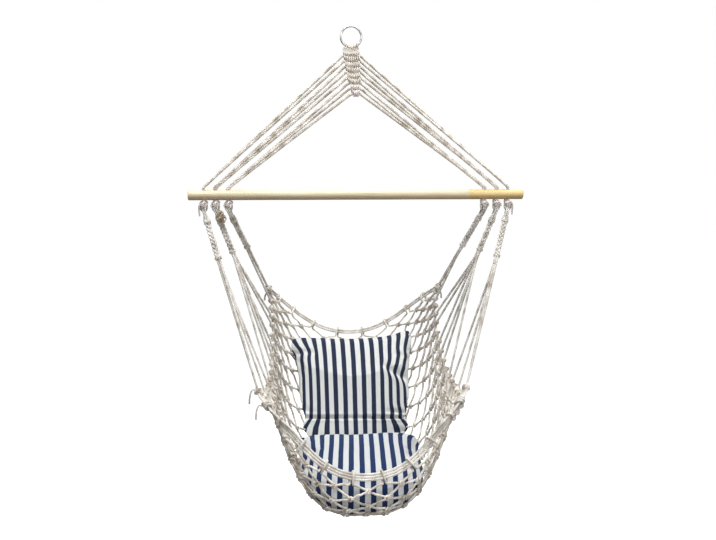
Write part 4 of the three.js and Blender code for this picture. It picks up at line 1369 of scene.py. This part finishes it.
def shaped_seat(local, up):
    x, y = local[:, 0].copy(), local[:, 1].copy()
    across, along = SEAT_CORNER
    for sign in (-1, 1):
        local[:, 0] += sign * SEAT_CORNER_PUSH * bell(x, y, (sign * across, along), SEAT_CORNER_REACH)
    local[:, 2] += SEAT_CROWN * up * np.exp(-((y - 10) / 120) ** 2) * np.clip(1 - (x / 190) ** 4, 0, 1)
    return local


# %% [markdown]
# Folds. The covers crease where they are pressed and pulled: deeply above the back pillow's foot, and lightly
# towards the corners. Simulated folds would fall anywhere, so each is placed where the photograph shows it,
# as a valley with a soft ridge on both sides that drags the stripes sideways.

# %% Folds
# Start, end, depth, width and sideways drag of each fold, in the pillow's own frame
BACK_FOLDS = [((-225, -96), (15, -103), 11, 4.5, 0), ((-15, -102), (225, -106), 12, 4.5, 0),
              ((-215, 112), (-120, 106), 6, 9, 6), ((205, -6), (92, 60), 8, 10, -9),
              ((200, 78), (128, 96), 4, 8, 4), ((60, 168), (140, 158), 4, 5, 0),
              ((175, -96), (95, -84), 5, 7, 4), ((-190, -60), (-120, -92), 3, 8, 0),
              ((196, -150), (110, -142), 5, 8, 5)]
SEAT_FOLDS = [((-205, 128), (-70, 140), 5, 8, 4), ((205, 90), (110, 118), 4, 9, -3),
              ((-205, 10), (-110, 30), 4, 9, 3), ((205, -30), (120, -12), 3, 9, 0),
              ((-60, -150), (60, -150), 2, 14, 0)]
RIDGE_SHARE, RIDGE_PLACE = 0.12, 2.1          # of the fold's depth, and in fold widths from its middle


def folded(local, up, folds):
    x, y = local[:, 0], local[:, 1]
    for start, end, depth, width, drag in folds:
        start, end = np.array(start, float), np.array(end, float)
        run = end - start
        t = ((x - start[0]) * run[0] + (y - start[1]) * run[1]) / (run @ run)
        d = ((x - start[0]) * run[1] - (y - start[1]) * run[0]) / np.linalg.norm(run)
        ends = np.clip(1 - np.abs(2 * t - 1) ** 3, 0, 1) * ((t > 0) & (t < 1))
        ridge = RIDGE_SHARE * np.exp(-((np.abs(d) - RIDGE_PLACE * width) / width) ** 2)
        local[:, 2] -= depth * (np.exp(-(d / width) ** 2) - ridge) * ends * up
        local[:, 0] += drag * np.exp(-(d / (2 * width)) ** 2) * ends * up
    return local


# %% [markdown]
# Held covers. The pushes above would carry a cover out through the net and into the other pillow. What lies
# too far out is brought back: to just inside the net's surface, so that the net's cords press into it, and to
# its own side of the leaning plane where the two pillows touch.

# %% Held covers
LEAN = math.radians(20)
PRESS = np.array([0, math.cos(LEAN), -math.sin(LEAN)])
PRESS_SIDES = {"seat_cushion": 1, "back_cushion": -1}
PRESS_CLEARANCE, NET_CLEARANCE, NET_SEARCH = 2, 1.0, 40


def pressed(points, name):
    side = PRESS_SIDES[name]
    reach = mesh_points(nodes[name]) / MM @ PRESS * side
    past = np.maximum(points @ PRESS * side - reach.max() + PRESS_CLEARANCE, 0)
    return points - np.outer(past * side, PRESS)


def net_surface():
    wide = COLUMNS + 1
    quads = [(r * wide + c, (r + 1) * wide + c, (r + 1) * wide + c + 1, r * wide + c + 1)
             for r in range(ROWS) for c in range(COLUMNS)]
    return BVHTree.FromPolygons([Vector(p) for p in grid.reshape(-1, 3)], quads)


NET_SURFACE = net_surface()


def within_net(points):
    kept = points.copy()
    for k, point in enumerate(points):
        spot, normal, _, _ = NET_SURFACE.find_nearest(Vector(point), NET_SEARCH)
        if spot is None:
            continue
        inside = (Vector(point) - spot).dot(normal)
        if inside < NET_CLEARANCE:
            kept[k] += np.array(normal) * (NET_CLEARANCE - inside)
    return kept


# %% [markdown]
# Covers. The stripes' coordinates are stored before the cover is shaped, so that they move with the cloth.
# They spread round the pillow's sides as cloth does round a curve. The folds come last, because holding the
# cover to its plane would press them flat again.

# %% Covers
SIDE_CURVE = 270          # radius by which the stripes crowd towards the pillow's sides


def cloth_places(local, facts):
    along = np.clip(2 * local[:, 1] / facts["length"], -1, 1)
    half = lerp(facts["front"], facts["rear"], (along + 1) / 2) / 2
    middle = (facts["front"] + facts["rear"]) / 4
    across = local[:, 0] * middle / lerp(middle, half, 0.5)
    across = (across - facts["turn"] * local[:, 1]) / (1 - facts["flare"] * along)
    spread = SIDE_CURVE * np.arcsin(np.clip(across / SIDE_CURVE, -0.98, 0.98)) / facts["pitch"]
    return np.stack([spread, local[:, 1] / facts["pitch"], np.zeros(len(spread))], 1)


def cushion(name, material, shaped, folds):
    facts = CUSHIONS[name]
    made = remeshed(nodes[name], name + "_cover")
    made = blown_up(made)
    made = finer(made, name + "_cover")
    local = local_points(mesh_points(made) / MM, facts)
    layer = made.data.attributes.new("cloth", "FLOAT_VECTOR", "POINT")
    layer.data.foreach_set("vector", cloth_places(local, facts).ravel().astype(np.float32))
    facing = mesh_values(made.data.vertex_normals, "vector") @ cushion_axes(facts)[2]
    up = np.clip(1.6 * facing, 0, 1)
    held = pressed(within_net(world_points(shaped(local, up), facts)), name)
    set_points(made, world_points(folded(local_points(held, facts), up, folds), facts) * MM)
    made.data.materials.clear()
    made.data.materials.append(material)
    made.data.shade_smooth()
    return made


for name, body, material, shaped, folds in (("seat_cushion", "seat_pad", royal, shaped_seat, SEAT_FOLDS),
                                            ("back_cushion", "back_pad", navy, shaped_back, BACK_FOLDS)):
    cover = cushion(name, material, shaped, folds)
    placed(cover, body, "canvas", name)

# %% [markdown]
# Lamps. The chair was photographed under soft light from above and in front. A broad lamp from above on the
# front left does most of the work, a second one hangs above, and a weaker one from the front right opens the
# shadows under the net.

# %% Lamps
LAMP_TARGET = (0, 0, -0.9)
# Place, size and power in watts of each lamp
LAMPS = {
    "key": ((-0.7, -1.0, 2.3), 1.3, 96),
    "top": ((0.5, 0.3, 2.2), 1.2, 60),
    "front": ((1.4, -3.0, -0.1), 1.6, 32),
}


def lamp(name, place, size, watts):
    data = bpy.data.lights.new(name, "AREA")
    data.shape = "DISK"
    data.size = size
    data.energy = watts
    made = bpy.data.objects.new(name, data)
    made.location = place
    made.rotation_euler = (Vector(place) - Vector(LAMP_TARGET)).to_track_quat("Z", "Y").to_euler()
    scene.collection.objects.link(made)


for name, facts in LAMPS.items():
    lamp(name, *facts)
print("lamps:", len(LAMPS))

# %% [markdown]
# Room. The background is plain white, but a room that bright would wash the ropes out. Light paths tell the
# two apart: the camera and the steel see white, and everything else is lit by a softer, slightly blue room.

# %% Room
ROOM_TONE, ROOM_STRENGTH = (0.95, 0.97, 1, 1), 0.34


def room():
    world = bpy.data.worlds.new("room")
    world.use_nodes = True
    scene.world = world
    tree = world.node_tree
    tree.nodes.clear()
    path = add(tree, "ShaderNodeLightPath").outputs
    seen = calc(tree, "MAXIMUM", path["Is Camera Ray"], path["Is Glossy Ray"])
    white = add(tree, "ShaderNodeBackground", {"Color": (1, 1, 1, 1), "Strength": 1.0})
    soft = add(tree, "ShaderNodeBackground", {"Color": ROOM_TONE, "Strength": ROOM_STRENGTH})
    mixed = add(tree, "ShaderNodeMixShader", {0: seen, 1: soft.outputs[0], 2: white.outputs[0]})
    add(tree, "ShaderNodeOutputWorld", {"Surface": mixed.outputs[0]})


room()
scene.view_settings.view_transform = "Standard"
print("room:", scene.world.name)

# %% [markdown]
# Floor. A plain pale floor lies well below the chair. It glows for the camera, so that it meets the white
# background, and is darker to all other rays, so that it doesn't light the net from below.

# %% Floor
FLOOR_HALF, FLOOR_HEIGHT = 40.0, -1.95
FLOOR_PALE, FLOOR_CLOUD, FLOOR_UNSEEN = (0.92, 0.92, 0.92, 1), (0.88, 0.88, 0.88, 1), (0.32, 0.31, 0.30, 1)
FLOOR_GLOW = 0.72


def floor_material():
    made, tree, shader = new_material("floor_white")
    pale = ramp(tree, noise(tree, object_place(tree), 1.5), [(0.3, FLOOR_CLOUD), (0.7, FLOOR_PALE)])
    seen = add(tree, "ShaderNodeLightPath").outputs["Is Camera Ray"]
    fill(tree, shader, {"Base Color": blended(tree, seen, FLOOR_UNSEEN, pale), "Roughness": 0.9,
                        "Specular IOR Level": 0, "Emission Color": (1, 1, 1, 1),
                        "Emission Strength": calc(tree, "MULTIPLY", seen, FLOOR_GLOW)})
    return made


corners = [(x * FLOOR_HALF, y * FLOOR_HALF, FLOOR_HEIGHT) for x, y in ((-1, -1), (1, -1), (1, 1), (-1, 1))]
floor = mesh_object("floor", corners, faces=[(0, 1, 2, 3)], material=floor_material())
print("floor:", FLOOR_HEIGHT)
